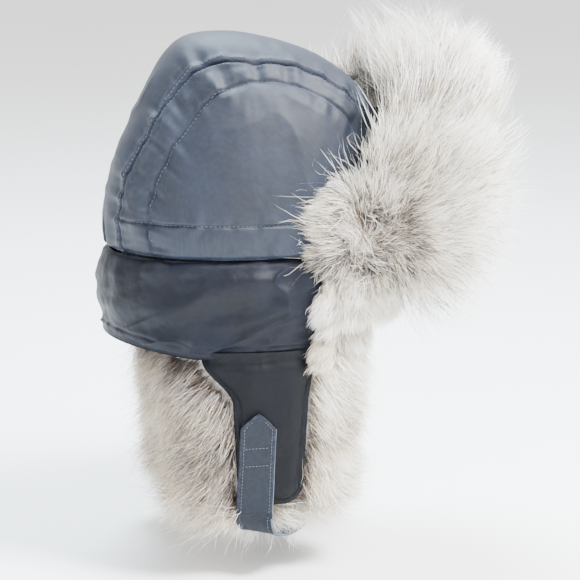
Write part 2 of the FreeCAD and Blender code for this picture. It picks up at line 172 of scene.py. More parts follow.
class Nodes:
    """A material's node tree with short ways of adding to it."""

    def __init__(self, name, **values):
        self.material = bpy.data.materials.new(name)
        self.material.use_nodes = True
        self.tree = self.material.node_tree
        self.shader = self.tree.nodes["Principled BSDF"]
        for socket, value in values.items():
            self.shader.inputs[socket.replace("_", " ")].default_value = value

    def add(self, kind, settings=None, **inputs):
        node = self.tree.nodes.new("ShaderNode" + kind)
        for key, value in (settings or {}).items():
            setattr(node, key, value)
        for key, value in inputs.items():
            socket = node.inputs[int(key[1:])] if key[0] == "i" and key[1:].isdigit() else node.inputs[key]
            if isinstance(value, bpy.types.NodeSocket):
                self.tree.links.new(value, socket)
            else:
                socket.default_value = value
        return node

    def out(self, kind, socket, settings=None, **inputs):
        return self.add(kind, settings, **inputs).outputs[socket]

    def maths(self, operation, a, b=0.0, c=0.5):
        return self.out("Math", 0, {"operation": operation}, i0=a, i1=b, i2=c)

    def ramp(self, factor, low, high, from_rgb, to_rgb):
        node = self.add("ValToRGB", Fac=factor)
        node.color_ramp.elements[0].position, node.color_ramp.elements[1].position = low, high
        node.color_ramp.elements[0].color, node.color_ramp.elements[1].color = from_rgb, to_rgb
        return node.outputs[0]

    def blend(self, factor, a, b):
        return self.out("Mix", 2, {"data_type": "RGBA"}, i0=factor, i6=a, i7=b)

    def finish(self, colour=None, roughness=None, height=None, depth=0.1 * MM):
        if colour is not None:
            self.tree.links.new(colour, self.shader.inputs["Base Color"])
        if roughness is not None:
            self.tree.links.new(roughness, self.shader.inputs["Roughness"])
        if height is not None:
            bump = self.out("Bump", 0, Height=height, Distance=depth, Strength=1.0)
            self.tree.links.new(bump, self.shader.inputs["Normal"])
        return self.material


def woven(name, dark, light, pitch=0.7 * MM, weave=0.5, worn=(150, 163, 184), rough_low=0.42,
          rough_high=0.62, sheen=0.02, gloss_level=0.22):
    """Cloth with crossing threads, uneven dye and wear where the 'wear' attribute is high."""
    m = Nodes(name, Sheen_Weight=sheen, Sheen_Roughness=0.4, Specular_IOR_Level=gloss_level)
    place = m.out("TexCoord", "UV")
    waves = [m.out("TexWave", 1, {"bands_direction": d, "wave_profile": "SIN"}, Vector=place,
                   Scale=math.pi / 10 / pitch, Distortion=0.6, Detail=1.0) for d in ("X", "Y")]
    threads = m.maths("MULTIPLY", waves[0], waves[1])
    body = m.out("TexCoord", "Object")
    cloud = m.out("TexNoise", 0, Vector=body, Scale=26.0, Detail=3.0, Roughness=0.5)
    grain = m.out("TexNoise", 0, Vector=place, Scale=900.0, Detail=2.0)
    colour = m.ramp(cloud, 0.3, 0.72, linear(dark), linear(light))
    colour = m.blend(m.maths("MULTIPLY", threads, 0.16), colour, linear(dark))
    wear = m.out("Attribute", 2, {"attribute_name": "wear"})
    spots = m.maths("MULTIPLY", wear, m.ramp(m.out("TexNoise", 0, Vector=place, Scale=240.0, Detail=4.0),
                                             0.42, 0.66, (0, 0, 0, 1), (1, 1, 1, 1)))
    colour = m.blend(m.maths("MULTIPLY", spots, 0.55), colour, linear(worn))
    gloss = m.maths("MULTIPLY_ADD", cloud, rough_high - rough_low, rough_low)
    height = m.maths("MULTIPLY_ADD", threads, weave, grain)
    return m.finish(colour, gloss, height, 0.12 * MM)


def thread_material(name, rgb):
    m = Nodes(name, Sheen_Weight=0.2, Specular_IOR_Level=0.4)
    place = m.out("TexCoord", "Object")
    ply = m.out("TexWave", 1, {"bands_direction": "DIAGONAL"}, Vector=place, Scale=2200.0, Distortion=1.0)
    fade = m.out("TexNoise", 0, Vector=place, Scale=60.0, Detail=3.0)
    colour = m.ramp(fade, 0.3, 0.7, linear([c * 0.8 for c in rgb]), linear(rgb))
    return m.finish(colour, m.maths("MULTIPLY_ADD", ply, 0.2), ply, 0.05 * MM)


NYLON = woven("shell_nylon", (15, 20, 32), (23, 31, 47), worn=(54, 67, 90), rough_low=0.5, rough_high=0.62,
              gloss_level=0.4)
# A darker copy of the shell nylon for the band, the forehead and the visor's back: its colour holds painted
# shade.
NYLON_PAINTED_SHADE = woven("shell_nylon_painted_shade", (7, 9, 17), (12, 16, 29), worn=(30, 39, 58), gloss_level=0.2)
# A still darker copy of the shell nylon for the ear flaps: its colour holds painted shade.
FLAP_NYLON_PAINTED_SHADE = woven("shell_nylon_flap_painted_shade", (4, 5, 9), (8, 10, 16), worn=(22, 27, 38), gloss_level=0.14)
STRAP_CLOTH = woven("strap_nylon", (12, 17, 25), (20, 26, 36), 0.9 * MM, 0.7, (58, 68, 84))
STRAP_BACK = woven("strap_backing", (44, 54, 69), (62, 74, 90), 0.9 * MM, 0.7, (84, 95, 110))
LINING = woven("quilted_lining", (24, 28, 36), (38, 43, 54), 0.6 * MM, 0.35, rough_low=0.3, rough_high=0.45)
BRUSHED = woven("brushed_sweatband", (38, 40, 45), (56, 58, 65), 1.1 * MM, 0.9, rough_low=0.75,
                rough_high=0.9, sheen=0.6)
SATIN = woven("label_satin", (196, 196, 190), (226, 226, 220), 0.4 * MM, 0.3, (240, 240, 236), 0.25,
              0.35)
PIPING = woven("strap_piping", (70, 80, 94), (98, 108, 122), 0.5 * MM, 0.5, (120, 128, 142))
TAPE = woven("hook_tape", (30, 34, 42), (46, 51, 61), 1.3 * MM, 1.6, rough_low=0.7, rough_high=0.85)
LOOPS = woven("loop_tape", (36, 40, 48), (54, 60, 70), 0.8 * MM, 1.2, rough_low=0.8, rough_high=0.95,
              sheen=0.6)
THREAD = thread_material("thread_pale", (78, 88, 106))


def floor_material():
    m = Nodes("studio_floor", Roughness=0.9)
    cloud = m.out("TexNoise", 0, Vector=m.out("TexCoord", "Object"), Scale=3.0)
    return m.finish(m.ramp(cloud, 0.2, 0.8, linear((246, 246, 246)), linear((250, 250, 250))))


def underfur(name, dark, pale):
    """The dense short wool the long hair grows from; its darker tones are partly the wool's own colour and
    partly painted shade deep in the fur.
    """
    m = Nodes(name, Sheen_Weight=0.5, Roughness=0.95, Specular_IOR_Level=0.1)
    place = m.out("TexCoord", "Object")
    lumps = m.out("TexNoise", 0, Vector=place, Scale=160.0, Detail=6.0, Roughness=0.7, Distortion=0.8)
    hair = m.out("TexNoise", 0, Vector=place, Scale=1500.0, Detail=3.0)
    mixed = m.maths("ADD", m.maths("MULTIPLY", lumps, 0.7), m.maths("MULTIPLY", hair, 0.3))
    return m.finish(m.ramp(mixed, 0.35, 0.68, linear(dark), linear(pale)), None, mixed, 1.5 * MM)


# Underfur colours: partly the wool's own, partly painted shade of the hair's depths.
UNDERFUR_AND_SHADE = underfur("underfur", (118, 108, 98), (205, 200, 190))

# Hair colours, dark to pale. Every hair changes colour along its length.
HAIR = {"dark": (70, 62, 58), "brown": (116, 100, 90), "grey": (150, 144, 142), "tan": (202, 184, 156),
        "cream": (234, 224, 204), "pale": (246, 242, 232), "white": (253, 253, 251)}
HAIR_MATERIALS = [Nodes("fur_" + name, Base_Color=linear(rgb), Roughness=0.55, Sheen_Weight=0.15,
                        Specular_IOR_Level=0.25).material for name, rgb in HAIR.items()]


# ---------------------------------------------------------------- meshes
def make_object(name, points, faces, materials, uv=None, wear=None, smooth=True, index=None):
    """A mesh object from arrays: faces is one (n, k) array or a list of them."""
    faces = faces if isinstance(faces, list) else [faces]
    sizes = np.concatenate([np.full(len(f), f.shape[1]) for f in faces])
    corners = np.concatenate([f.ravel() for f in faces])
    mesh = bpy.data.meshes.new(name)
    mesh.vertices.add(len(points))
    mesh.vertices.foreach_set("co", np.asarray(points, np.float32).ravel())
    mesh.loops.add(len(corners))
    mesh.loops.foreach_set("vertex_index", corners.astype(np.int32))
    mesh.polygons.add(len(sizes))
    mesh.polygons.foreach_set("loop_start", (np.cumsum(sizes) - sizes).astype(np.int32))
    if index is not None:
        mesh.polygons.foreach_set("material_index", index.astype(np.int32))
    mesh.update(calc_edges=True)
    mesh.polygons.foreach_set("use_smooth", np.full(len(sizes), smooth))
    if uv is not None:
        layer = mesh.uv_layers.new(name="UVMap")
        layer.data.foreach_set("uv", uv[corners].astype(np.float32).ravel())
    if wear is not None:
        attribute = mesh.attributes.new("wear", "FLOAT", "POINT")
        attribute.data.foreach_set("value", wear.astype(np.float32).ravel())
    for item in materials if isinstance(materials, list) else [materials]:
        mesh.materials.append(item)
    obj = bpy.data.objects.new(name, mesh)
    bpy.context.scene.collection.objects.link(obj)
    return obj


def grid_faces(rows, cols, wrap=False):
    i, j = np.meshgrid(np.arange(rows - 1), np.arange(cols if wrap else cols - 1), indexing="ij")
    nxt = (j + 1) % cols
    below = (i + 1) * cols
    return np.stack([i * cols + j, i * cols + nxt, below + nxt, below + j], -1).reshape(-1, 4)


def grid_normals(p, away_from, wrap=False):
    """Normals of a grid, pointing away from a middle point."""
    if wrap:
        wide = np.concatenate([p[:, -1:], p, p[:, :1]], 1)
        across = np.gradient(wide, axis=1)[:, 1:-1]
    else:
        across = np.gradient(p, axis=1)
    n = unit(np.cross(np.gradient(p, axis=0), across))
    facing = np.sign(np.sum(n * (p - np.asarray(away_from)), -1, keepdims=True))
    return n * np.where(facing == 0, 1, facing)


def grid_uv(p):
    """Lengths along the grid's two directions, in metres."""
    down = np.linalg.norm(np.diff(p, axis=0, prepend=p[:1]), axis=-1).cumsum(0)
    across = np.linalg.norm(np.diff(p, axis=1, prepend=p[:, :1]), axis=-1).cumsum(1)
    return np.stack([across, down], -1).reshape(-1, 2)


def grid_object(name, p, material, outward=True, wrap=False, wear=None, middle=(0, 0, 0.05)):
    """An object from a grid of points, its faces turned to look outward or inward."""
    faces = grid_faces(p.shape[0], p.shape[1], wrap)
    flat = p.reshape(-1, 3)
    quads = flat[faces]
    n = np.cross(quads[:, 2] - quads[:, 0], quads[:, 3] - quads[:, 1])
    if (np.sum(n * (quads.mean(1) - np.asarray(middle))) > 0) != outward:
        faces = faces[:, ::-1]
    if wear is None:
        wear = np.full(len(flat), 0.15)
    return make_object(name, flat, faces, material, grid_uv(p), np.asarray(wear).ravel())


def ride(obj, body, *nodes):
    """Move with a body, and stand for its nodes."""
    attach(obj, body)
    if nodes:
        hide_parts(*nodes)
    return obj


def padded_grid(name, p, material, body, nodes, fill, **shape):
    """A piece made from a grid of points, moving with a body and standing for its nodes."""
    piece = ride(grid_object(name, p, material, **shape), body, *nodes)
    return piece


def directions(a, e):
    """Unit vectors at a bearing and an elevation."""
    return np.stack([np.cos(a) * np.cos(e), np.sin(a) * np.cos(e), np.sin(e)], -1)


def squared(a, power):
    """Radius of a squarish circle at a bearing; power 2 is round."""
    return (np.abs(np.cos(a)) ** power + np.abs(np.sin(a)) ** power) ** (-1 / power)


floor_signs = np.array(((-1, -1, 1), (1, -1, 1), (1, 1, 1), (-1, 1, 1)))
floor = make_object("floor", floor_signs * (FLOOR_HALF, FLOOR_HALF, FLOOR_Z), np.array([[0, 1, 2, 3]]),
                    floor_material(), smooth=False)

# ---------------------------------------------------------------- crown and band surface
CROWN_TOP, SEAM_Z, HEM_Z, BROW_Z = 211.5 * MM, 46 * MM, -30 * MM, 0.5 * MM
CROWN_SQUARE = 2.2          # 2 is an ellipse, more is squarer

# Ovals of the crown, top to bottom: height, back, front and half width, in millimetres.
CROWN_OVALS = [
    (211.5, -22, -22, 0), (208, -46, 12, 24), (198, -60, 47, 43), (180, -72, 76, 59),
    (148, -87, 103, 76), (116, -102, 113, 84.5), (84, -111, 114, 88.5), (66, -113, 114, 89),
    (46, -112.5, 112.5, 88.5),
]


def crown_oval(z):
    """Middle, half length and half width of the crown at height z."""
    rows = np.array(CROWN_OVALS) * MM
    drop = np.sqrt((CROWN_TOP - rows[:, 0]) / (CROWN_TOP - SEAM_Z))
    here = np.sqrt(np.clip((CROWN_TOP - z) / (CROWN_TOP - SEAM_Z), 0, 1))
    middle = smooth_table(here, drop, (rows[:, 1] + rows[:, 2]) / 2)
    long = smooth_table(here, drop, (rows[:, 2] - rows[:, 1]) / 2)
    wide = smooth_table(here, drop, rows[:, 3])
    return middle, np.maximum(long, 1e-6), np.maximum(wide, 1e-6)


def crown_excess(p):
    """Below 0 inside the crown, above 0 outside."""
    middle, long, wide = crown_oval(p[..., 2])
    inside = (np.abs((p[..., 0] - middle) / long) ** CROWN_SQUARE
              + np.abs(p[..., 1] / wide) ** CROWN_SQUARE - 1)
    return np.where(p[..., 2] > CROWN_TOP, 1.0, inside)


def cast(start, toward, excess=crown_excess, reach=0.3):
    """Where rays from inside leave a surface."""
    toward = unit(toward)
    near, far = np.zeros(toward.shape[:-1]), np.full(toward.shape[:-1], reach)
    for _ in range(34):
        half = (near + far) / 2
        out = excess(start + toward * half[..., None]) > 0
        far, near = np.where(out, half, far), np.where(out, near, half)
    return start + toward * ((near + far) / 2)[..., None]


PANEL_NAPE, PANEL_TOP, PANEL_FRONT, PANEL_REACH = 30 * MM, 50 * MM, 42 * MM, 124 * MM
QUILT_Y, STITCH_ROW_Z = 61 * MM, 72.5 * MM


def panel_half(x):
    """Half width of the centre panel, in a view from above."""
    return np.where(x < 0, PANEL_TOP + (PANEL_TOP - PANEL_NAPE) * x / PANEL_REACH,
                    PANEL_TOP - (PANEL_TOP - PANEL_FRONT) * x / PANEL_REACH)


def along_surface(height, n, gradient):
    """Distance on a surface from the line where a height is 0, given the height's slope in space."""
    g = np.broadcast_to(gradient, n.shape)
    slope = g - n * np.sum(g * n, -1, keepdims=True)
    return height / np.maximum(np.linalg.norm(slope, axis=-1), 0.15)


def groove(d, wide):
    return np.exp(-((d / wide) ** 2))


def puckers(d, along, pitch, reach, seed):
    """Gathers that run out from a stitched line."""
    wave = noise(np.stack([along / pitch, d * 0 + seed, d / reach * 0.6], -1), 1.0, seed)
    return wave * np.exp(-np.abs(d) / reach) * (1 - np.exp(-np.abs(d) / (1.2 * MM)))


def crown_relief(p, n):
    """Outward displacement and wear of the padded crown: seams, quilting, puckers and soft folds."""
    x, y, z = p[..., 0], p[..., 1], p[..., 2]
    side = np.sign(y)
    seam = along_surface(np.abs(y) - panel_half(x), n, np.stack([y * 0, side, y * 0], -1))
    bottom = along_surface(z - SEAM_Z, n, np.array([0, 0, 1.0]))
    quilt = along_surface(np.abs(y) - QUILT_Y + 5 * MM * noise(p, 90 * MM, 3), n,
                          np.stack([y * 0, side, y * 0], -1))
    row = along_surface(z - STITCH_ROW_Z, n, np.array([0, 0, 1.0]))
    polar = np.arctan2(z - SEAM_Z, x) * 150 * MM
    around = np.arctan2(y, x) * 100 * MM
    outside = smooth_step(0, 4 * MM, seam)
    puff = 1 - 0.8 * groove(seam, 12 * MM) - 0.7 * groove(bottom, 10 * MM)
    puff = puff - 0.8 * outside * groove(quilt, 7 * MM) * smooth_step(0, 20 * MM, z - SEAM_Z)
    lift = 2.6 * MM * (puff - 0.8)
    lift = lift - 3.4 * MM * groove(seam, 1.3 * MM) - 3.6 * MM * groove(bottom, 2.2 * MM)
    lift = lift + 1.0 * MM * groove(np.abs(seam) - 3.4 * MM, 2.4 * MM)
    lift = lift - 1.8 * MM * outside * groove(quilt, 1.5 * MM) - 1.3 * MM * outside * groove(row, 1.3 * MM)
    lift = lift + 3.4 * MM * puckers(seam, polar, 8 * MM, 12 * MM, 1) + 4.2 * MM * puckers(
        bottom, around, 11 * MM, 16 * MM, 2)
    lift = lift + 3.8 * MM * outside * puckers(quilt, polar, 9 * MM, 14 * MM, 5)
    lift = lift + 2.2 * MM * outside * puckers(row, around, 7 * MM, 8 * MM, 6)
    stretched = p * (1.0, 1.0, 0.55)
    lift = lift + 1.6 * MM * noise(stretched, 52 * MM, 4)
    lift = lift + 1.9 * MM * ridged(stretched, 30 * MM, 9) * smooth_step(-0.2, 0.4, noise(p, 60 * MM, 8))
    lift = lift + 0.12 * MM * rough(p, 9 * MM, 12, 2)
    wear = 0.15 + 0.8 * np.exp(-np.abs(seam) / (5 * MM)) + 0.6 * np.exp(-np.abs(bottom) / (5 * MM))
    wear = wear + 0.4 * outside * np.exp(-np.abs(quilt) / (4 * MM))
    return lift, np.clip(wear, 0, 1)


CROWN_HEART = np.array((0, 0, SEAM_Z))


def crown_panel(side, rows, cols):
    """Grid on the crown: side 0 is the centre panel, -1 and 1 the side panels, with their relief on."""
    polar = np.linspace(math.pi, 0, cols)
    if side == 0:
        across = np.linspace(-1, 1, rows)
        a, b = np.meshgrid(polar, across)
        x, y = 100 * MM * np.cos(a), b * PANEL_TOP
        for _ in range(7):
            y = b * panel_half(x)
            start = np.stack([y * 0, y, y * 0 + SEAM_Z], -1)
            p = cast(start, np.stack([np.cos(a), a * 0, np.sin(a)], -1))
            x = p[..., 0]
    else:
        edge_x, edge_y = 100 * MM * np.cos(polar), polar * 0 + PANEL_TOP
        for _ in range(7):
            edge_y = panel_half(edge_x)
            start = np.stack([polar * 0, edge_y, polar * 0 + SEAM_Z], -1)
            edge = cast(start, np.stack([np.cos(polar), polar * 0, np.sin(polar)], -1))
            edge_x = edge[..., 0]
        middle, long, wide = crown_oval(np.array([SEAM_Z]))
        low_x = np.linspace(edge[0, 0], edge[-1, 0], cols)
        ratio = np.clip(np.abs((low_x - middle) / long), 0, 1)
        low_y = wide * (1 - ratio**CROWN_SQUARE) ** (1 / CROWN_SQUARE)
        low = np.stack([low_x, low_y, low_x * 0 + SEAM_Z], -1)
        t = np.linspace(0, 1, rows)[:, None, None]
        toward = unit(edge - CROWN_HEART) * (1 - t) + unit(low - CROWN_HEART) * t
        p = cast(CROWN_HEART, toward)
        p[0], p[-1] = edge, low
        p = p * (1, side, 1)
    n = grid_normals(p, CROWN_HEART)
    lift, wear = crown_relief(p, n)
    return p + n * lift[..., None], wear


CROWN_PIECES = {}
for side, name, rows, cols in ((0, "crown_centre_panel", 110, 430),
                               (RIGHT, "crown_side_panel_right", 170, 420),
                               (LEFT, "crown_side_panel_left", 170, 420)):
    CROWN_PIECES[side], wear = crown_panel(side, rows, cols)
    padded_grid(name + "_cloth", CROWN_PIECES[side], NYLON, "root", [name], 0.7, wear=wear)


# ---------------------------------------------------------------- band
# Ovals of the band, bottom to top: height, half length and half width, in millimetres.
BAND_OVALS = [(-30, 112, 90), (-12, 115, 90.5), (10, 117, 91), (40, 114.5, 90), (46, 112.5, 88.5)]
BAND_SQUARE, BAND_HEART = 2.15, (0, 0, 0.01)
# The hem rolls under from a share of the band's height, with this radius, and drops by a share of it.
HEM_START, HEM_ROUND, HEM_DROP = 0.86, 7 * MM, 0.6
NAPE_X, TAIL_X, NAPE_RISE = -56.5 * MM, -135.6 * MM, 12 * MM


def band_oval(z):
    """Half length and half width of the band at height z."""
    height, long, wide = (np.array(BAND_OVALS) * MM).T
    return smooth_table(z, height, long), smooth_table(z, height, wide)


def hem_height(x, brow):
    if brow:
        return x * 0 + BROW_Z
    return HEM_Z + NAPE_RISE * np.clip((NAPE_X - x) / (NAPE_X - TAIL_X), 0, 1)


def band_grid(first, last, rows, cols, brow=False):
    """Band between two bearings in degrees, rolled under at its hem, and its wear."""
    a, t = np.meshgrid(np.radians(np.linspace(first, last, cols)), np.linspace(0, 1, rows))
    foot = hem_height(113 * MM * np.cos(a), brow) + HEM_ROUND * HEM_DROP
    z = SEAM_Z + (foot - SEAM_Z) * np.clip(t / HEM_START, 0, 1)
    long, wide = band_oval(z)
    scale = squared(a, BAND_SQUARE)
    p = np.stack([long * scale * np.cos(a), wide * scale * np.sin(a), z], -1)
    n = grid_normals(p, BAND_HEART)
    turn = np.clip((t - HEM_START) / (1 - HEM_START), 0, 1) * math.pi * 0.75
    p[..., 2] -= HEM_ROUND * HEM_DROP * np.sin(turn)
    p = p - n * (HEM_ROUND * (1 - np.cos(turn)))[..., None]
    around = a * 100 * MM
    seam = SEAM_Z - z
    hem = z - hem_height(p[..., 0], brow)
    lift = -3.4 * MM * groove(seam, 2.6 * MM) - 1.0 * MM * groove(seam, 8 * MM)
    lift = lift + 4.6 * MM * puckers(seam, around, 12 * MM, 22 * MM, 11)
    lift = lift - 0.9 * MM * groove(hem - 9 * MM, 1.6 * MM)
    lift = lift + 0.9 * MM * puckers(hem - 9 * MM, around, 8 * MM, 7 * MM, 13)
    slanted = np.stack([around + 1.2 * z, z - 0.4 * around, z * 0], -1) * (0.42, 1.3, 1)
    soft = smooth_step(0, 14 * MM, seam) * smooth_step(0, 12 * MM, hem)
    lift = lift + 3.0 * MM * soft * rough(slanted, 24 * MM, 14, 2)
    creased = smooth_step(-0.2, 0.4, noise(p, 50 * MM, 18))
    lift = lift + 4.4 * MM * soft * ridged(slanted, 26 * MM, 17) ** 2 * creased
    lift = (lift + 0.25 * MM * rough(p, 6 * MM, 19, 2)) * (1 - smooth_step(0, 1.5, turn))
    wear = 0.12 + 0.6 * np.exp(-np.abs(seam) / (5 * MM)) + 0.7 * np.exp(-np.abs(hem) / (5 * MM))
    return p + n * lift[..., None], np.clip(wear, 0, 1)


BROW_BEARING = 63.5
BAND, band_wear = band_grid(BROW_BEARING, 360 - BROW_BEARING, 120, 620)
# The band and the forehead use the darkened nylon, with painted shade in its colour.
padded_grid("band_cloth", BAND, NYLON_PAINTED_SHADE, "root", ["band_shell", "band_padding"], 0.65, wear=band_wear,
            middle=BAND_HEART)
BROW, brow_wear = band_grid(-BROW_BEARING, BROW_BEARING, 70, 300, True)
padded_grid("forehead_cloth", BROW, NYLON_PAINTED_SHADE, "root", ["forehead_panel"], 0.6, wear=brow_wear,
            middle=BAND_HEART)


# ---------------------------------------------------------------- lining, sweatband and label
def diamonds(across, along):
    """Rise of a diamond quilting pattern, from 0 to 1."""
    return np.sqrt(np.abs(np.sin(across + along)) * np.abs(np.sin(across - along)))


LINING_INSET, QUILT_RISE = 11.5 * MM, 2.2 * MM
a, e = np.meshgrid(np.linspace(0, 2 * math.pi, 360, endpoint=False), np.linspace(0, 0.5 * math.pi, 90))
p = cast(CROWN_HEART, directions(a, e))
p = p + unit(CROWN_HEART - p) * LINING_INSET
p = p + unit(CROWN_HEART - p) * (QUILT_RISE * diamonds(a * 13, e * 9) * np.cos(e))[..., None]
lining = padded_grid("crown_lining_quilted", p, LINING, "root", ["crown_lining", "crown_padding"], 0.5,
                     outward=False, wrap=True, middle=CROWN_HEART)


def inner_band(name, bearings, rows, cols, low, high, inset, brow, material, *nodes):
    """A layer on the inside of the band, between two bearings in degrees; the lining is quilted."""
    a, t = np.meshgrid(np.radians(np.linspace(*bearings, cols)), np.linspace(0, 1, rows))
    foot = np.maximum(low, hem_height(110 * MM * np.cos(a), brow) + 0.5 * MM)
    z = high + (foot - high) * t
    long, wide = band_oval(z)
    p = np.stack([(long - inset) * np.cos(a), (wide - inset) * np.sin(a), z], -1)
    n = unit(np.stack([-np.cos(a), -np.sin(a), a * 0], -1))
    if material is LINING:
        lift = 1.6 * MM * diamonds(a * 15, z * 90)
    else:
        rows_of_stitches = groove(z - high + 3 * MM, 0.8 * MM) + groove(z - foot - 3 * MM, 0.8 * MM)
        lift = 0.5 * MM * rough(p, 9 * MM, 31) - 0.7 * MM * rows_of_stitches
    piece = grid_object(name, p + n * lift[..., None], material, False, middle=(0, 0, z.mean()))
    ride(piece, "root", *nodes)


LINING_TOP, BAND_LINING_INSET = SEAM_Z + 2 * MM, 12 * MM
inner_band("band_lining_quilted", (BROW_BEARING, 360 - BROW_BEARING), 50, 420, HEM_Z, LINING_TOP,
           BAND_LINING_INSET, False, LINING, "band_lining")
inner_band("brow_lining", (-BROW_BEARING, BROW_BEARING), 30, 200, 0, LINING_TOP, BAND_LINING_INSET, True,
           LINING)
inner_band("sweatband_brushed", (0, 360), 34, 520, 1 * MM, 32 * MM, 13.6 * MM, True, BRUSHED, "sweatband")

label_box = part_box("care_label")
u, v = np.meshgrid(np.linspace(0, 1, 24), np.linspace(0, 1, 24))
label_y = label_box[0].y + (label_box[1].y - label_box[0].y) * u
label_z = label_box[0].z + (label_box[1].z - label_box[0].z) * v
label_x = label_box[1].x + 1.2 * MM + 1.6 * MM * np.sin(v * 5) * v + 1.0 * MM * u
label_points = np.stack([label_x, label_y, label_z], -1)
label = grid_object("care_label_satin", label_points, SATIN, middle=(-0.2, 0, 0.07))
ride(label, "root", "care_label")


# ---------------------------------------------------------------- hair
def scatter(p, count, rng, keep, wrap=True):
    """Places spread evenly over a grid where keep is 1 and left bare where it is 0, with their normals."""
    n = grid_normals(p, p.reshape(-1, 3).mean(0), wrap)
    faces = grid_faces(p.shape[0], p.shape[1], wrap)
    corner, normal = p.reshape(-1, 3)[faces], n.reshape(-1, 3)[faces]
    area = np.linalg.norm(np.cross(corner[:, 2] - corner[:, 0], corner[:, 3] - corner[:, 1]), axis=1) / 2
    area = area * keep(corner.mean(1))
    pick = rng.choice(len(area), count, p=area / area.sum())
    u, v = rng.random((2, count, 1))
    share = [(1 - u) * (1 - v), u * (1 - v), u * v, (1 - u) * v]
    place = sum(s * corner[pick, i] for i, s in enumerate(share))
    return place, unit(sum(s * normal[pick, i] for i, s in enumerate(share)))


HAIR_STEPS = 4
# Hair may stand this far out of the hat's box: a share of each side and a length.
cad_low, cad_high = (np.array(corner) for corner in cad_box)
ROOM = 0.03 * (cad_high - cad_low) + 8.5 * MM


def shortened(path, root):
    """Hairs that would leave the hat's room are drawn in toward their roots."""
    share = np.ones(len(root))
    for edge, sign in ((cad_high + ROOM, 1), (cad_low - ROOM, -1)):
        over = (sign * (path - root)).max(0)
        room = np.maximum(sign * (edge - root), 0)
        share = np.minimum(share, (room / np.maximum(over, 1e-9)).min(1))
    return root + (path - root) * np.clip(share, 0, 1)[:, None]


def grow(name, root, n, flow, length, tint, rng, lift=0.5, clump=0.55, clump_size=6 * MM, width=0.42 * MM,
         curl=0.12, body="root", avoid=None):
    """Hair as thin tapering blades.

    flow is the way each hair lies, length its length, tint(share) its colours at a share of its length, from
    0 to 6, lift how far it stands up, and clump how far its tip is drawn to those around it."""
    count = len(root)
    n = unit(n + 0.15 * rng.normal(size=n.shape))
    rise = np.clip(lift + 0.14 * rng.normal(size=(count, 1)), 0.05, 0.95)
    first = unit(n * rise + flow * (1 - rise) + 0.14 * rng.normal(size=n.shape))
    last = unit(flow + n * (rise - 0.45) + 0.22 * rng.normal(size=n.shape))
    t = np.linspace(0, 1, HAIR_STEPS + 1)[:, None, None]
    reach = length[:, None]
    path = root + reach * (first * t + (last - first) * t * t * 0.5)
    wave = unit(np.cross(first, rng.normal(size=n.shape)))
    path = path + wave * reach * curl * np.sin(t * 4 + rng.random((count, 1)) * 6) * t
    seeds = rng.choice(count, max(8, int(count / 26)), replace=False)
    tree = KDTree(len(seeds))
    for i, s in enumerate(seeds):
        tree.insert(root[s], i)
    tree.balance()
    owner = seeds[np.array([tree.find(r)[1] for r in root])]
    gap = np.linalg.norm(root - root[owner], axis=1)[:, None]
    pull = clump * t**1.4 * np.clip(1 - gap / (2.4 * clump_size), 0, 1) * (0.6 + 0.4 * rng.random((count, 1)))
    path = path + (path[:, owner] - path) * pull
    path = shortened(path, root)
    path[0] = root - n * 2.0 * MM
    along = unit(np.gradient(path, axis=0))
    flat = unit(np.cross(along, n))
    spin = 0.9 * rng.normal(size=(count, 1))
    flat = unit(flat * np.cos(spin) + np.cross(along, flat) * np.sin(spin))
    taper = np.array([1.0, 1.0, 0.8, 0.55])[:, None, None] * width * (0.7 + 0.6 * rng.random((count, 1)))
    sides = np.stack([path[:-1] - flat[:-1] * taper / 2, path[:-1] + flat[:-1] * taper / 2], 2)
    per = 2 * HAIR_STEPS + 1
    points = np.concatenate([sides.transpose(1, 0, 2, 3).reshape(count, -1, 3), path[-1][:, None]], 1)
    stays = np.ones(count, bool) if avoid is None else ~avoid(path).any(0)
    points, count = points[stays], int(stays.sum())
    base = (np.arange(count) * per)[:, None]
    quads = [base + np.array([[2 * k, 2 * k + 1, 2 * k + 3, 2 * k + 2]]) for k in range(HAIR_STEPS - 1)]
    tips = base + np.array([[per - 3, per - 2, per - 1]])
    index = [np.clip(np.round(tint((k + 0.5) / HAIR_STEPS)[stays] + 0.45 * rng.normal(size=count)), 0, 6)
             for k in range(HAIR_STEPS)]
    obj = make_object(name, points.reshape(-1, 3), [np.concatenate(quads), tips], HAIR_MATERIALS,
                      index=np.concatenate(index))
    ride(obj, body)


def lay(flow, n):
    """The flow with its part along the normal taken out."""
    return unit(flow - n * np.sum(flow * n, -1, keepdims=True) + 1e-9)


# ---------------------------------------------------------------- visor
VISOR_PIVOT_X, VISOR_LEAN = 119 * MM, math.radians(8)
VISOR_LONG, VISOR_WIDE, VISOR_HALF, VISOR_LOW, VISOR_TOP, VISOR_CORNER, VISOR_THICK = [
    v * MM for v in (120, 94, 66, 3, 150, 36, 4.2)]
VISOR_MIDDLE = (0, 0, 0.08)


def lean(p, angle):
    """Turn points forward about the visor's fold."""
    x, z = p[..., 0] - VISOR_PIVOT_X, p[..., 2]
    return np.stack([VISOR_PIVOT_X + x * math.cos(angle) + z * math.sin(angle), p[..., 1],
                     z * math.cos(angle) - x * math.sin(angle)], -1)


def visor_sheet(rows, cols, grow_by):
    """Visor's oval sheet with rounded top corners, before it leans forward."""
    t = np.linspace(0, 1, rows)[:, None] ** 0.7
    z = VISOR_TOP - (VISOR_TOP - VISOR_LOW) * (1 - t)
    into = np.clip(z - (VISOR_TOP - VISOR_CORNER), 0, VISOR_CORNER)
    half = VISOR_HALF - VISOR_CORNER + np.sqrt(np.maximum(VISOR_CORNER**2 - into**2, 1e-9))
    y = half * np.linspace(-1, 1, cols)[None]
    x = (VISOR_LONG + grow_by) * np.sqrt(np.maximum(1 - (y / (VISOR_WIDE + grow_by)) ** 2, 0))
    return np.stack([x, y, z + 0 * y], -1)


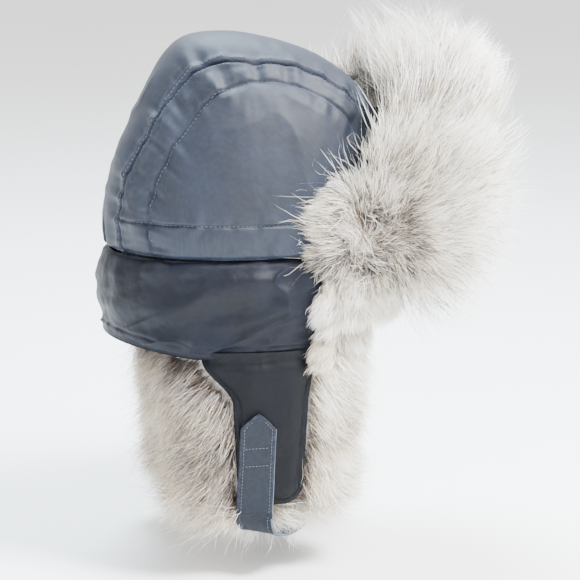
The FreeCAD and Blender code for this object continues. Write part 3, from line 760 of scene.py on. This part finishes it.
back = visor_sheet(110, 150, 0)
rim = np.minimum(VISOR_TOP - back[..., 2], VISOR_HALF - np.abs(back[..., 1]))
relief = -0.9 * MM * groove(rim - 7 * MM, 1.2 * MM)
relief = relief + 0.7 * MM * puckers(rim - 7 * MM, back[..., 2] + back[..., 1], 8 * MM, 5 * MM, 41)
relief = relief + 1.2 * MM * rough(back, 30 * MM, 42, 3) * smooth_step(0, 12 * MM, rim)
back[..., 0] -= relief
# The visor's back uses the darkened nylon, with painted shade in its colour.
padded_grid("visor_back_cloth", lean(back, VISOR_LEAN), NYLON_PAINTED_SHADE, "visor", ["visor_shell"], 0.3,
            outward=False, middle=VISOR_MIDDLE)
front = lean(visor_sheet(60, 80, VISOR_THICK), VISOR_LEAN)
ride(grid_object("visor_front_backing", front, UNDERFUR_AND_SHADE, middle=VISOR_MIDDLE), "visor", "visor_stiffener")

# The dense fur is a squarish ball: its middle, half sizes and squareness.
FUR_MIDDLE, FUR_HALF, FUR_SQUARE = np.array((98, 0, 94)) * MM, np.array((95, 93, 86)) * MM, 2.4
CORE_HEART = np.array((172, 0, 84)) * MM
# How far back the fur reaches at the sides, by height, in millimetres.
REAR_HEIGHTS, REAR_EDGE = (0, 29, 62, 103, 133, 175, 212), (66, 50, 38, 52, 82, 90, 84)


def visor_core_excess(p):
    """Below 0 inside the dense part of the visor's fur."""
    ball = np.sum(np.abs((p - FUR_MIDDLE) / FUR_HALF) ** FUR_SQUARE, -1) ** (1 / FUR_SQUARE) - 1
    back = lean(p, -VISOR_LEAN)
    long, wide = VISOR_LONG + 5 * MM, VISOR_WIDE + 1 * MM
    wall = 1 - np.sqrt((back[..., 0] / long) ** 2 + (p[..., 1] / wide) ** 2)
    middle, long, wide = crown_oval(np.clip(p[..., 2], SEAM_Z, 190 * MM))
    snug = 1 - np.sqrt(((p[..., 0] - middle) / (long + 5 * MM)) ** 2 + (p[..., 1] / (wide + 5 * MM)) ** 2)
    side = smooth_step(48 * MM, 72 * MM, np.abs(p[..., 1]))
    wall = wall * (1 - side) + snug * side
    rear_edge = smooth_table(p[..., 2], np.array(REAR_HEIGHTS) * MM, np.array(REAR_EDGE) * MM)
    wall = np.maximum(wall, (rear_edge - p[..., 0]) / (100 * MM))
    foot = (5 * MM - p[..., 2]) / FUR_HALF[2]
    return np.maximum(np.maximum(ball, wall), foot)


a, e = np.meshgrid(np.linspace(0, 2 * math.pi, 260, endpoint=False),
                   np.linspace(-0.5, 0.5, 150) * math.pi * 0.998)
toward = directions(a, e)
core = cast(CORE_HEART, toward, visor_core_excess)
core = core + unit(core - CORE_HEART) * (3.5 * MM * rough(core, 26 * MM, 51, 3))[..., None]
padded_grid("visor_underfur", core, UNDERFUR_AND_SHADE, "visor", ["visor_fur"], 0.6, wrap=True, middle=CORE_HEART)

# The fur is thicker in a lobe at each temple, where its hair starts from a whorl.
WHORL = np.array((80, 88, 66)) * MM
LOBE_MIDDLE, LOBE_HALF = np.array((66, 80, 62)) * MM, np.array((28, 12, 35)) * MM
lobe = LOBE_MIDDLE + toward * LOBE_HALF
lobe = lobe + toward * (3 * MM * rough(toward * LOBE_HALF, 20 * MM, 55))[..., None]
LOBES = {side: lobe * (1, side, 1) for side, name in SIDES}
for side, name in SIDES:
    padded_grid("visor_side_underfur_" + name, LOBES[side], UNDERFUR_AND_SHADE, "visor", [], 0.6, wrap=True,
                middle=LOBE_MIDDLE * (1, side, 1))


def whorl_beside(p):
    """The whorl on each point's own side."""
    return WHORL * np.stack([np.ones(len(p)), np.where(p[:, 1] < 0, -1, 1), np.ones(len(p))], -1)


def visor_flow(p, n):
    """Hair lies away from a whorl at each temple and goes upright at the top."""
    whorl = whorl_beside(p)
    away = unit(p - whorl)
    centre = np.exp(-((p[:, 1:2] / (40 * MM)) ** 2))
    upright = -0.9 + 1.5 * smooth_step(55 * MM, 120 * MM, p[:, 2] + 22 * MM * noise(p, 28 * MM, 69))
    down_middle = np.stack([0.6 + 0 * upright, 0 * upright, upright], -1)
    flow = away * (1 - 0.8 * centre) + down_middle * 0.8 * centre
    flow[:, 2] += 0.7 * smooth_step(120 * MM, 200 * MM, p[:, 2])
    near = np.exp(-np.sum((p - whorl) ** 2, -1, keepdims=True) / (26 * MM) ** 2)
    tangle = 3.2 * near * swirl(p, 11 * MM, (66, 67, 68))
    return lay(flow * (1 - 0.6 * near) + 0.6 * swirl(p, 24 * MM, (61, 62, 63)) + tangle, n)


def visor_hair(grid, count, seed, name, keep, long, high_gain=0.1, shade=0.0, **style):
    """Hair of the visor, darker at its roots, round the whorls and in a tan band below its top fringe."""
    rng = np.random.default_rng(seed)
    root, n = scatter(grid, count, rng, keep)
    whorl = np.linalg.norm(root - whorl_beside(root), axis=1)
    near_whorl = np.exp(-((whorl / (40 * MM)) ** 2)) * (0.8 + 0.7 * rough(root, 14 * MM, 65, 2))
    high = smooth_step(130 * MM, 180 * MM, root[:, 2])
    low = smooth_step(50 * MM, 15 * MM, root[:, 2])
    front = smooth_step(150 * MM, 195 * MM, root[:, 0])
    length = long * (1 + 0.1 * near_whorl + high_gain * high + 0.45 * low)
    length = length * (0.75 + 0.5 * rng.random(count))
    patch = rough(root, 34 * MM, 64, 2)

    def tint(share):
        pale = 1.0 + 6.0 * share**0.75 + 1.4 * patch - shade * (1 - share)
        tan_band = high * np.exp(-((share - 0.35) / 0.35) ** 2)
        pale = pale - 5.6 * near_whorl * (1 - 0.4 * share) - 2.2 * tan_band - 1.1 * front * (1 - share)
        return pale - 0.9 * low * (1 - share) + 0.8 * high * share**2

    return grow(name, root, n, visor_flow(root, n), length, tint, rng, body="visor", **style)


def in_front(p):
    """Hair is sparse on the face that lies against the visor's backing."""
    back = lean(p, -VISOR_LEAN)
    against = (back[:, 0] / (VISOR_LONG + 9 * MM)) ** 2 + (p[:, 1] / (VISOR_WIDE + 5 * MM)) ** 2 < 1
    return np.where(against & (np.abs(p[:, 1]) < 70 * MM) & (p[:, 2] < 150 * MM), 0.12, 1.0)


def at_top(p):
    """The long guard hair stands thickest along the visor's top."""
    return in_front(p) * (0.05 + smooth_step(130 * MM, 175 * MM, p[:, 2]))


def at_side(p):
    """1 on the outer face of a temple's lobe."""
    return (np.abs(p[:, 1]) > 76 * MM).astype(float)


visor_hair(core, 24000, 101, "visor_fur_wool", in_front, 20 * MM, lift=0.55, clump=0.45, width=0.5 * MM)
visor_hair(core, 24000, 102, "visor_fur_hair", in_front, 27 * MM, lift=0.5, clump=0.6)
visor_hair(core, 7000, 103, "visor_fur_guard", at_top, 54 * MM, 0.42, 1.6, lift=0.8, clump=0.96,
           clump_size=15 * MM, width=0.5 * MM, curl=0.06)
for side, name in SIDES:
    visor_hair(LOBES[side], 8000, 105, "visor_side_hair_" + name, at_side, 25 * MM, shade=1.6, lift=0.34,
               clump=0.7, clump_size=8 * MM)
    visor_hair(LOBES[side], 420, 106, "visor_side_stray_" + name, at_side, 44 * MM, lift=0.4, clump=0.1,
               width=0.3 * MM)
visor_hair(core, 2600, 104, "visor_fur_stray", in_front, 41 * MM, lift=0.66, clump=0.1, width=0.3 * MM,
           curl=0.16)


# ---------------------------------------------------------------- ear flaps
FLAP = dict(top=-24, bottom=-147, corner=16, rear_top=-30, front_top=35, rear_low=-24, front_low=27)
FLAP = {key: value * MM for key, value in FLAP.items()}
FLAP_LONG, FLAP_WIDE, REAR_FLARE, FRONT_FLARE = 112 * MM, 90 * MM, 22 * MM, 4 * MM
FLAP_FOLD_Z, FLAP_BLEND_END = -31 * MM, -38 * MM


def flap_y(x):
    """How far out the flap's flat face is at each x."""
    return FLAP_WIDE * np.sqrt(1 - (x / FLAP_LONG) ** 2)


def flap_edges(z):
    """The rear and front edges of the nylon at height z; it widens where it meets the band."""
    down = np.clip((z - FLAP["top"]) / (FLAP["bottom"] - FLAP["top"]), 0, 1)
    flare = smooth_step(-66 * MM, -30 * MM, z)
    rear = FLAP["rear_top"] + (FLAP["rear_low"] - FLAP["rear_top"]) * down - REAR_FLARE * flare
    return rear, FLAP["front_top"] + (FLAP["front_low"] - FLAP["front_top"]) * down + FRONT_FLARE * flare


def flap_cloth(side):
    """Grid of an ear flap's padded nylon face, and its wear."""
    rows, cols = 190, 150
    t = np.linspace(0, 1, rows)[:, None] ** 0.85
    z = FLAP["top"] + (FLAP["bottom"] - FLAP["top"]) * t
    rear, front = flap_edges(z)
    radius = FLAP["corner"]
    into = np.clip(FLAP["bottom"] + radius - z, 0, radius)
    cut = radius - np.sqrt(np.maximum(radius**2 - into**2, 0))
    s = np.linspace(0, 1, cols)[None]
    x = rear + cut + (front - rear - 2 * cut) * s
    p = np.stack([x, flap_y(x), z + 0 * x], -1)
    beside = np.minimum(x - rear, front - x)
    edge = np.minimum(beside, z - FLAP["bottom"])
    round_edge = radius - np.hypot(np.maximum(radius - beside, 0), into)
    edge = np.where(into > 0, np.minimum(edge, round_edge), edge)
    fold = FLAP_FOLD_Z - z + 0 * x
    lift = 4.2 * MM * np.sqrt(smooth_step(-1 * MM, 17 * MM, edge))
    lift = lift - 5 * MM * smooth_step(0.5 * MM, -1.5 * MM, edge)
    lift = lift - 2.6 * MM * groove(fold, 5 * MM) - 1.0 * MM * groove(edge - 5 * MM, 1.2 * MM)
    lift = lift + 1.0 * MM * puckers(edge - 5 * MM, x + z, 7 * MM, 6 * MM, 71)
    lift = lift + 1.6 * MM * puckers(fold, x, 10 * MM, 18 * MM, 72)
    soft = smooth_step(2 * MM, 14 * MM, edge)
    creases = ridged(p * (1, 1, 0.5), 22 * MM, 74) * smooth_step(0, 0.5, noise(p, 40 * MM, 75))
    lift = lift + soft * (2.0 * MM * rough(p * (1, 1, 0.6), 30 * MM, 73, 2) + 1.4 * MM * creases)
    n = unit(np.stack([x / FLAP_LONG**2, p[..., 1] / FLAP_WIDE**2, 0 * x], -1))
    p = (p + n * (lift + 0.2 * MM * rough(p, 6 * MM, 76, 2) - 1.2 * MM)[..., None]) * (1, side, 1)
    wear = 0.12 + 0.8 * np.exp(-np.abs(edge) / (4 * MM)) + 0.4 * np.exp(-np.abs(fold) / (6 * MM))
    return p, np.clip(wear, 0, 1)


FUR_OUTER, FUR_INNER, FUR_TOP, FUR_FOOT = 84 * MM, 54 * MM, -30 * MM, -146 * MM


def fur_slab(rear_top, front_top, rear_low, front_low, top, foot, side, corner, rows=90, cols=150,
             square=3.2, inner=FUR_INNER, outer=FUR_OUTER):
    """Closed grid round a slab of underfur on one side of the head."""
    t = np.linspace(0, 1, rows)[:, None]
    z = top + (foot - top) * np.sin(t * math.pi / 2)
    down = (z - top) / (foot - top)
    rear = rear_top + (rear_low - rear_top) * down
    front = front_top + (front_low - front_top) * down
    into = np.clip(foot + corner - z, 0, corner)
    cut = corner - np.sqrt(np.maximum(corner**2 - into**2, 0))
    half = (front - rear) / 2 - cut
    deep = (outer - inner) / 2 * np.sqrt(np.maximum(1 - (into / corner) ** 4, 0.0))
    half, deep = half * np.where(t >= 1, 0.0, 1), deep * np.where(t >= 1, 0.0, 1)
    a = np.linspace(0, 2 * math.pi, cols, endpoint=False)[None]
    scale = squared(a, square)
    x = (rear + front) / 2 + half * scale * np.cos(a)
    bow = flap_y(np.clip(x, -100 * MM, 100 * MM)) - FLAP_WIDE
    y = (outer + inner) / 2 + deep * scale * np.sin(a) + bow * 0.8
    p = np.stack([x, y, z + 0 * x], -1)
    heart = np.array(((rear_top + front_top) / 2, (outer + inner) / 2, (top + foot) / 2))
    inside = smooth_step(0.0, 0.1, down)
    p = p + unit(p - heart) * (2.5 * MM * rough(p, 22 * MM, 81, 3) * inside)[..., None]
    return p * (1, side, 1)


def flap_flow(p, n, middle_x, side):
    """Hair hangs down and spreads to the front and the back."""
    spread = np.clip((p[:, 0] - middle_x) / (45 * MM), -1.2, 1.2)
    down = np.stack([0.85 * spread, 0 * spread + 0.12 * side, -1 + 0.25 * np.abs(spread)], -1)
    return lay(down + 0.5 * swirl(p, 22 * MM, (91, 92, 93)), n)


def clear_of_nylon(p):
    """1 where hair may grow: not under the nylon face."""
    y = np.abs(p[:, 1])
    rear, front = flap_edges(p[:, 2])
    between = (p[:, 0] > rear + 1 * MM) & (p[:, 0] < front - 1 * MM)
    under = between & (y > 74 * MM) & (p[:, 2] > FLAP["bottom"] + 4 * MM)
    return np.where(under, 0.0, 1.0)


def everywhere(p):
    return np.ones(len(p))


def by_strap(p):
    """True in front of the strap on the right ear flap."""
    return ((np.abs(p[..., 0] + 10 * MM) < 15 * MM) & (p[..., 1] < -88 * MM) & (p[..., 2] < -70 * MM)
            & (p[..., 2] > -176 * MM))


def flap_hair(slab, side, count, seed, name, body, long, middle_x=6 * MM, keep=clear_of_nylon, **style):
    """Hair of an ear flap or a temple, with painted shade darkening it toward the back of the head."""
    rng = np.random.default_rng(seed)
    root, n = scatter(slab, count, rng, keep)
    # rear: roots toward the back of the head, where the hair is given painted shade.
    rear = smooth_step(10 * MM, -40 * MM, root[:, 0])
    low = smooth_step(-110 * MM, -150 * MM, root[:, 2])
    middle = np.exp(-((root[:, 2] + 88 * MM) / (20 * MM)) ** 2)
    # A painted shadow halfway down, near the front edge of the nylon face, darkens the hair most at its
    # roots.
    painted_shadow_patch = middle * np.exp(-((root[:, 0] - 50 * MM) / (22 * MM)) ** 2)
    length = long * (0.75 + 0.5 * rng.random(count)) * (1 + 0.5 * low + 0.25 * rear)
    patch = rough(root, 30 * MM, 94, 2)

    def tint(share):
        pale = 0.7 + 5.3 * share**0.7 + 1.7 * patch - 2.4 * painted_shadow_patch * (1 - 0.5 * share)
        # Painted shade: darker toward the back of the head, most at the roots halfway down.
        return pale - rear * (1.9 + 1.3 * middle * (1 - share)) - 1.0 * low * (1 - share)

    return grow(name, root, n, flap_flow(root, n, middle_x, side), length, tint, rng, body=body,
                avoid=by_strap if side == RIGHT else None, **style)


for side, name in SIDES:
    body = "ear_flap_" + name
    cloth, wear = flap_cloth(side)
    # The flap's nylon is the darkest copy, with painted shade in its colour.
    piece = grid_object(f"ear_flap_cloth_{name}", cloth, FLAP_NYLON_PAINTED_SHADE, wear=wear, middle=(0, 0, -0.09))
    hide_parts(f"ear_flap_shell_{name}", f"ear_flap_padding_{name}")
    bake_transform(piece)
    slab = fur_slab(-66 * MM, 75 * MM, -55 * MM, 63 * MM, FUR_TOP, FUR_FOOT, side, 26 * MM)
    padded_grid(f"ear_flap_underfur_{name}", slab, UNDERFUR_AND_SHADE, body, [f"ear_flap_fur_{name}"], 0.6, wrap=True,
                middle=slab.reshape(-1, 3).mean(0))
    flap_hair(slab, side, 28000, 111, f"ear_flap_hair_{name}", body, 29 * MM, lift=0.45, clump=0.65)
    flap_hair(slab, side, 1800, 115, f"ear_flap_stray_{name}", body, 38 * MM, lift=0.6, clump=0.1,
              width=0.3 * MM)
    temple = fur_slab(53 * MM, 82 * MM, 53 * MM, 82 * MM, -3 * MM, -28 * MM, side, 8 * MM, 24, 60, 2.6,
                      54 * MM, 80 * MM)
    padded_grid(f"temple_underfur_{name}", temple, UNDERFUR_AND_SHADE, "root", [f"temple_fur_{name}"], 0.6, wrap=True,
                middle=temple.reshape(-1, 3).mean(0))
    flap_hair(temple, side, 6000, 113, f"temple_hair_{name}", "root", 22 * MM, 40 * MM, everywhere,
              lift=0.45, clump=0.6)


def by_temple(p):
    """1 on the outside of the band beside the visor, below its fur."""
    x, y, z = p[..., 0], np.abs(p[..., 1]), p[..., 2]
    ragged = 5 * MM * noise(p, 9 * MM, 128)
    return ((x > 43 * MM + ragged) & (y > 34 * MM) & (z < 30 * MM + ragged)).astype(float)


for grid, seed, count, name in ((BAND, 121, 9000, "temple_hair_rear"),
                                (BROW, 122, 15000, "temple_hair_front")):
    rng = np.random.default_rng(seed)
    root, n = scatter(grid, count, rng, by_temple, False)
    spread = np.clip((root[:, 0] - 62 * MM) / (22 * MM), -1.3, 0.8)
    hang = lay(np.stack([spread, 0 * spread, -1 + 0 * spread], -1)
               + 0.5 * swirl(root, 20 * MM, (124, 125, 126)), n)
    patch = rough(root, 26 * MM, 127, 2)
    grow(name, root, n, hang, 21 * MM * (0.7 + 0.6 * rng.random(count)),
         lambda share: 0.7 + 4.6 * share**0.65 + 1.1 * patch, rng, lift=0.5, clump=0.6, width=0.48 * MM)


# ---------------------------------------------------------------- chin strap
STRAP_WIDTH, STRAP_PLY, STRAP_FACE = 28 * MM, 1.1 * MM, 92.6 * MM
STRAP_TIP, STRAP_SHOULDER, STRAP_SPLIT, STRAP_X = -72 * MM, -84 * MM, -151.5 * MM, -9 * MM
# Middle line of the free strap and the turn of its width away from +X, in millimetres and degrees.
STRAP_ROUTE = [
    (-13.0, -93.7, -151.5, 12), (-13.0, -93.2, -158.0, 24), (-8.0, -90.5, -166.0, 44),
    (4.0, -80.0, -171.5, 46), (20.0, -55.0, -176.0, 30), (33.0, -28.0, -178.0, 15),
    (38.0, 0.0, -179.0, 0), (33.0, 28.0, -178.0, -15), (20.0, 55.0, -176.0, -30),
    (5.0, 79.0, -173.5, -36), (-3.0, 88.4, -168.0, -18), (-4.0, 89.5, -160.2, 0),
]


def route_points(steps=10):
    """Places, directions and turns along the free strap."""
    route = np.array(STRAP_ROUTE)
    stops = route[:, :3] * MM
    slope = unit(np.concatenate([[(0, 0, -1)], stops[2:] - stops[:-2], [(0, 0, 1)]]))
    places, turns = [], []
    for k in range(len(stops) - 1):
        t = np.linspace(0, 1, steps, endpoint=k == len(stops) - 2)[:, None]
        handle = np.linalg.norm(stops[k + 1] - stops[k]) / 3
        b, c = stops[k] + slope[k] * handle, stops[k + 1] - slope[k + 1] * handle
        places.append((1 - t)**3 * stops[k] + 3 * (1 - t)**2 * t * b + 3 * (1 - t) * t**2 * c
                      + t**3 * stops[k + 1])
        turns.append(route[k, 3] + (route[k + 1, 3] - route[k, 3]) * t[:, 0])
    return np.concatenate(places), np.radians(np.concatenate(turns))


def strap_frame(places, turns):
    """Directions along, across and out of a strap."""
    along = unit(np.gradient(places, axis=0))
    across = np.stack([np.cos(turns), -np.sin(turns), 0 * turns], -1)
    across = unit(across - along * np.sum(across * along, -1, keepdims=True))
    return along, across, unit(np.cross(across, along))


def ribbon(name, places, across, out, half, thick, material, ripple=0.3 * MM):
    """Flat strap with soft edges and a stitched dent beside each edge, as a closed band of rows."""
    s = np.concatenate([np.linspace(-1, 1, 40), np.linspace(1, -1, 40)])
    face = np.concatenate([np.ones(40), np.zeros(40)])
    round_off = 1 - 0.35 * np.abs(s) ** 18
    width = half[:, None] * s[None]
    rise = thick * (0.5 + (face - 0.5)[None] * round_off[None])
    dent = groove(np.abs(width) - (half[:, None] - 3.2 * MM), 0.7 * MM)
    rise = rise - 0.25 * MM * dent * (face * 2 - 1)[None]
    p = places[:, None] + across[:, None] * width[..., None] + out[:, None] * rise[..., None]
    p = p + out[:, None] * (ripple * rough(p, 14 * MM, 95, 2))[..., None]
    faces = grid_faces(len(places), 80, True)
    caps = [np.array([[i, i + 1, 79 - i - 1, 79 - i] for i in range(39)]) + row * 80
            for row in (0, len(places) - 1)]
    caps[1] = caps[1][:, ::-1]
    length = np.linalg.norm(np.diff(places, axis=0, prepend=places[:1]), axis=1).cumsum()
    uv = np.stack([width, np.broadcast_to(length[:, None], width.shape)], -1).reshape(-1, 2)
    wear = 0.15 + 0.7 * np.exp(-np.abs(half[:, None] - np.abs(width)) / (2.5 * MM))
    return make_object(name, p.reshape(-1, 3), np.concatenate([faces, *caps]), material, uv, wear.ravel())


def tube(name, path, radius, material):
    """Round piping along a path."""
    sides = 8
    along = unit(np.gradient(path, axis=0))
    side_way = unit(np.cross(along, np.array((0.3, 0.9, 0.2))))
    other = np.cross(along, side_way)
    a = np.linspace(0, 2 * math.pi, sides, endpoint=False)[None, :, None]
    p = path[:, None] + radius * (np.cos(a) * side_way[:, None] + np.sin(a) * other[:, None])
    length = np.linalg.norm(np.diff(path, axis=0, prepend=path[:1]), axis=1).cumsum()
    girth = np.linspace(0, 1, sides)[None] * 6 * radius
    uv = np.stack(np.broadcast_arrays(girth, length[:, None]), -1).reshape(-1, 2)
    faces = grid_faces(len(path), sides, True)
    ends = [np.arange(sides)[None], (np.arange(sides) + (len(path) - 1) * sides)[None, ::-1]]
    return make_object(name, p.reshape(-1, 3), [faces, np.concatenate(ends)], material, uv)


TIP_ROWS = 30
tab_z = np.concatenate([np.linspace(STRAP_TIP, STRAP_SHOULDER, TIP_ROWS, endpoint=False),
                        np.linspace(STRAP_SHOULDER, STRAP_SPLIT, 110)])
tab_half = STRAP_WIDTH / 2 * np.clip(((STRAP_TIP - tab_z) / (STRAP_TIP - STRAP_SHOULDER)) ** 0.8, 0.04, 1)
tab_x = STRAP_X - 4 * MM * (STRAP_TIP - tab_z) / (STRAP_TIP - STRAP_SPLIT)
tab_line = np.stack([tab_x, 0 * tab_z - STRAP_FACE, tab_z], -1)
tab_turn = math.radians(12) * smooth_step(-114 * MM, STRAP_SPLIT, tab_z)
_, across, inward = strap_frame(tab_line, tab_turn)
out = -inward
tab = ribbon("chin_strap_end_cloth", tab_line, across, out, tab_half, 2 * STRAP_PLY, STRAP_CLOTH)
ride(tab, "ear_flap_right", "chin_strap_end")

free_line, free_turn = route_points()
_, free_across, free_out = strap_frame(free_line, free_turn)
free_half = np.full(len(free_line), STRAP_WIDTH / 2)
outer = ribbon("chin_strap_outer_cloth", free_line, free_across, -free_out, free_half, STRAP_PLY, STRAP_CLOTH)
inner = ribbon("chin_strap_inner_cloth", free_line, free_across, free_out, free_half, STRAP_PLY, STRAP_BACK)


def bends_with_strap(piece, *nodes):
    """Bakes a strap piece's placing into its mesh and hides the nodes it stands for."""
    if nodes:
        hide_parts(*nodes)
    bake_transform(piece)


bends_with_strap(outer, "chin_strap_outer")
bends_with_strap(inner, "chin_strap_backing")


def upright_strip(name, node, body, material):
    """A flat upright strip that fills its node's box."""
    low, high = [np.array(c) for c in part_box(node)]
    rows = np.linspace(high[2], low[2], 30)
    line = np.stack([0 * rows + (low[0] + high[0]) / 2, 0 * rows + low[1], rows], -1)
    strip = ribbon(name, line, np.tile((1.0, 0, 0), (30, 1)), np.tile((0, 1.0, 0), (30, 1)),
                   np.full(30, (high[0] - low[0]) / 2), high[1] - low[1], material, ripple=0)
    return ride(strip, body, node)


upright_strip("hook_patch_tape", "hook_patch", "ear_flap_right", TAPE)
upright_strip("loop_patch_tape", "loop_patch", "ear_flap_right", LOOPS)
stub = upright_strip("chin_strap_stub_cloth", "chin_strap_stub", "ear_flap_left", STRAP_CLOTH)
PIPE = 0.65 * MM
tab_edge = tab_line + across * (tab_half[:, None] - 0.2 * MM) + out * STRAP_PLY
ride(tube("strap_end_piping", tab_edge[TIP_ROWS:], PIPE, PIPING), "ear_flap_right")
bends_with_strap(tube("strap_piping", free_line + free_across * STRAP_WIDTH / 2, PIPE, PIPING))


# ---------------------------------------------------------------- stitching
def resample(line, n, pitch):
    """Places at equal steps along a line, with their normals and directions."""
    length = np.linalg.norm(np.diff(line, axis=0, prepend=line[:1]), axis=1).cumsum()
    at = np.arange(pitch, length[-1] - pitch / 2, pitch)
    place = np.stack([np.interp(at, length, line[:, k]) for k in range(3)], -1)
    normal = unit(np.stack([np.interp(at, length, n[:, k]) for k in range(3)], -1))
    return place, normal, unit(np.gradient(place, axis=0))


# Rings of one stitch: share of its length, rise and radius in millimetres.
STITCH_RINGS = ((-0.5, -0.3, 0.06), (-0.3, 0.2, 0.24), (0, 0.32, 0.28), (0.3, 0.2, 0.24), (0.5, -0.3, 0.06))


def stitches(name, lines, pitch=3.4 * MM, long=2.5 * MM):
    """Rows of separate stitches along lines given as (points, normals)."""
    points, faces, start = [], [], 0
    ring = np.linspace(0, 2 * math.pi, 5, endpoint=False)
    for line, n in lines:
        place, normal, along = resample(line, n, pitch)
        across = unit(np.cross(along, normal))
        girth = (np.cos(ring)[None, :, None] * across[:, None]
                 + np.sin(ring)[None, :, None] * normal[:, None])
        p = np.stack([(place + along * share * long + normal * rise * MM)[:, None] + radius * MM * girth
                      for share, rise, radius in STITCH_RINGS], 1)
        count = len(place)
        face = grid_faces(5, 5, True)
        faces.append((face[None] + (np.arange(count) * 25)[:, None, None] + start).reshape(-1, 4))
        points.append(p.reshape(-1, 3))
        start += count * 25
    return make_object(name, np.concatenate(points), np.concatenate(faces), THREAD)


def contour(p, values, target):
    """Line across a grid where a value that runs down its columns meets a target, with normals."""
    n = grid_normals(p, (0, 0, 0.02))
    line, normals = [], []
    for column in range(p.shape[1]):
        v = values[:, column]
        hit = np.nonzero((v[:-1] - target) * (v[1:] - target) <= 0)[0]
        if len(hit):
            i = hit[0]
            t = (target - v[i]) / (v[i + 1] - v[i] + 1e-12)
            line.append(p[i, column] * (1 - t) + p[i + 1, column] * t)
            normals.append(n[i, column])
    line, normals = np.array(line), np.array(normals)
    smooth = np.ones(9) / 9
    inside = slice(4, -4)
    line = np.stack([np.convolve(line[:, k], smooth, "same") for k in range(3)], -1)[inside]
    return line, normals[inside]


crown_lines = []
for side, p in CROWN_PIECES.items():
    n = grid_normals(p, CROWN_HEART)
    rows = (3, -4) if side == 0 else (3,)
    crown_lines += [(p[row, 6:-6], n[row, 6:-6]) for row in rows]
    if side:
        quilt = np.abs(p[..., 1]) + 5 * MM * noise(p, 90 * MM, 3)
        crown_lines.append(contour(p[:, 30:-30], quilt[:, 30:-30], QUILT_Y))
        crown_lines.append(contour(p[:, 8:-8], p[:, 8:-8, 2], STITCH_ROW_Z))
ride(stitches("crown_stitching", crown_lines), "root")

# Two rows along the strap's edges and two bars across its end.
EDGE_IN, BAR_HALF, BAR_HEIGHTS = 3.2 * MM, 11 * MM, (-113 * MM, -99 * MM)
edge_in = tab_half - EDGE_IN
face = np.tile((0, -1.0, 0), (len(tab_line), 1))
lines = [(tab_line + across * (side * edge_in[:, None]) + face * (2 * STRAP_PLY), face) for side in (-1, 1)]
lines = [(line[12:], n[12:]) for line, n in lines]
for z in BAR_HEIGHTS:
    bar_x = np.linspace(-1, 1, 20) * BAR_HALF + STRAP_X - 2 * MM
    bar = np.stack([bar_x, 0 * bar_x - STRAP_FACE - 2 * STRAP_PLY, z + 0 * bar_x], -1)
    lines.append((bar, face[:20]))
ride(stitches("strap_end_stitching", lines, 2.7 * MM, 2.0 * MM), "ear_flap_right")
lines = [(free_line + free_across * side * (STRAP_WIDTH / 2 - EDGE_IN) - free_out * STRAP_PLY, -free_out)
         for side in (-1, 1)]
bends_with_strap(stitches("strap_stitching", lines, 2.7 * MM, 2.0 * MM))
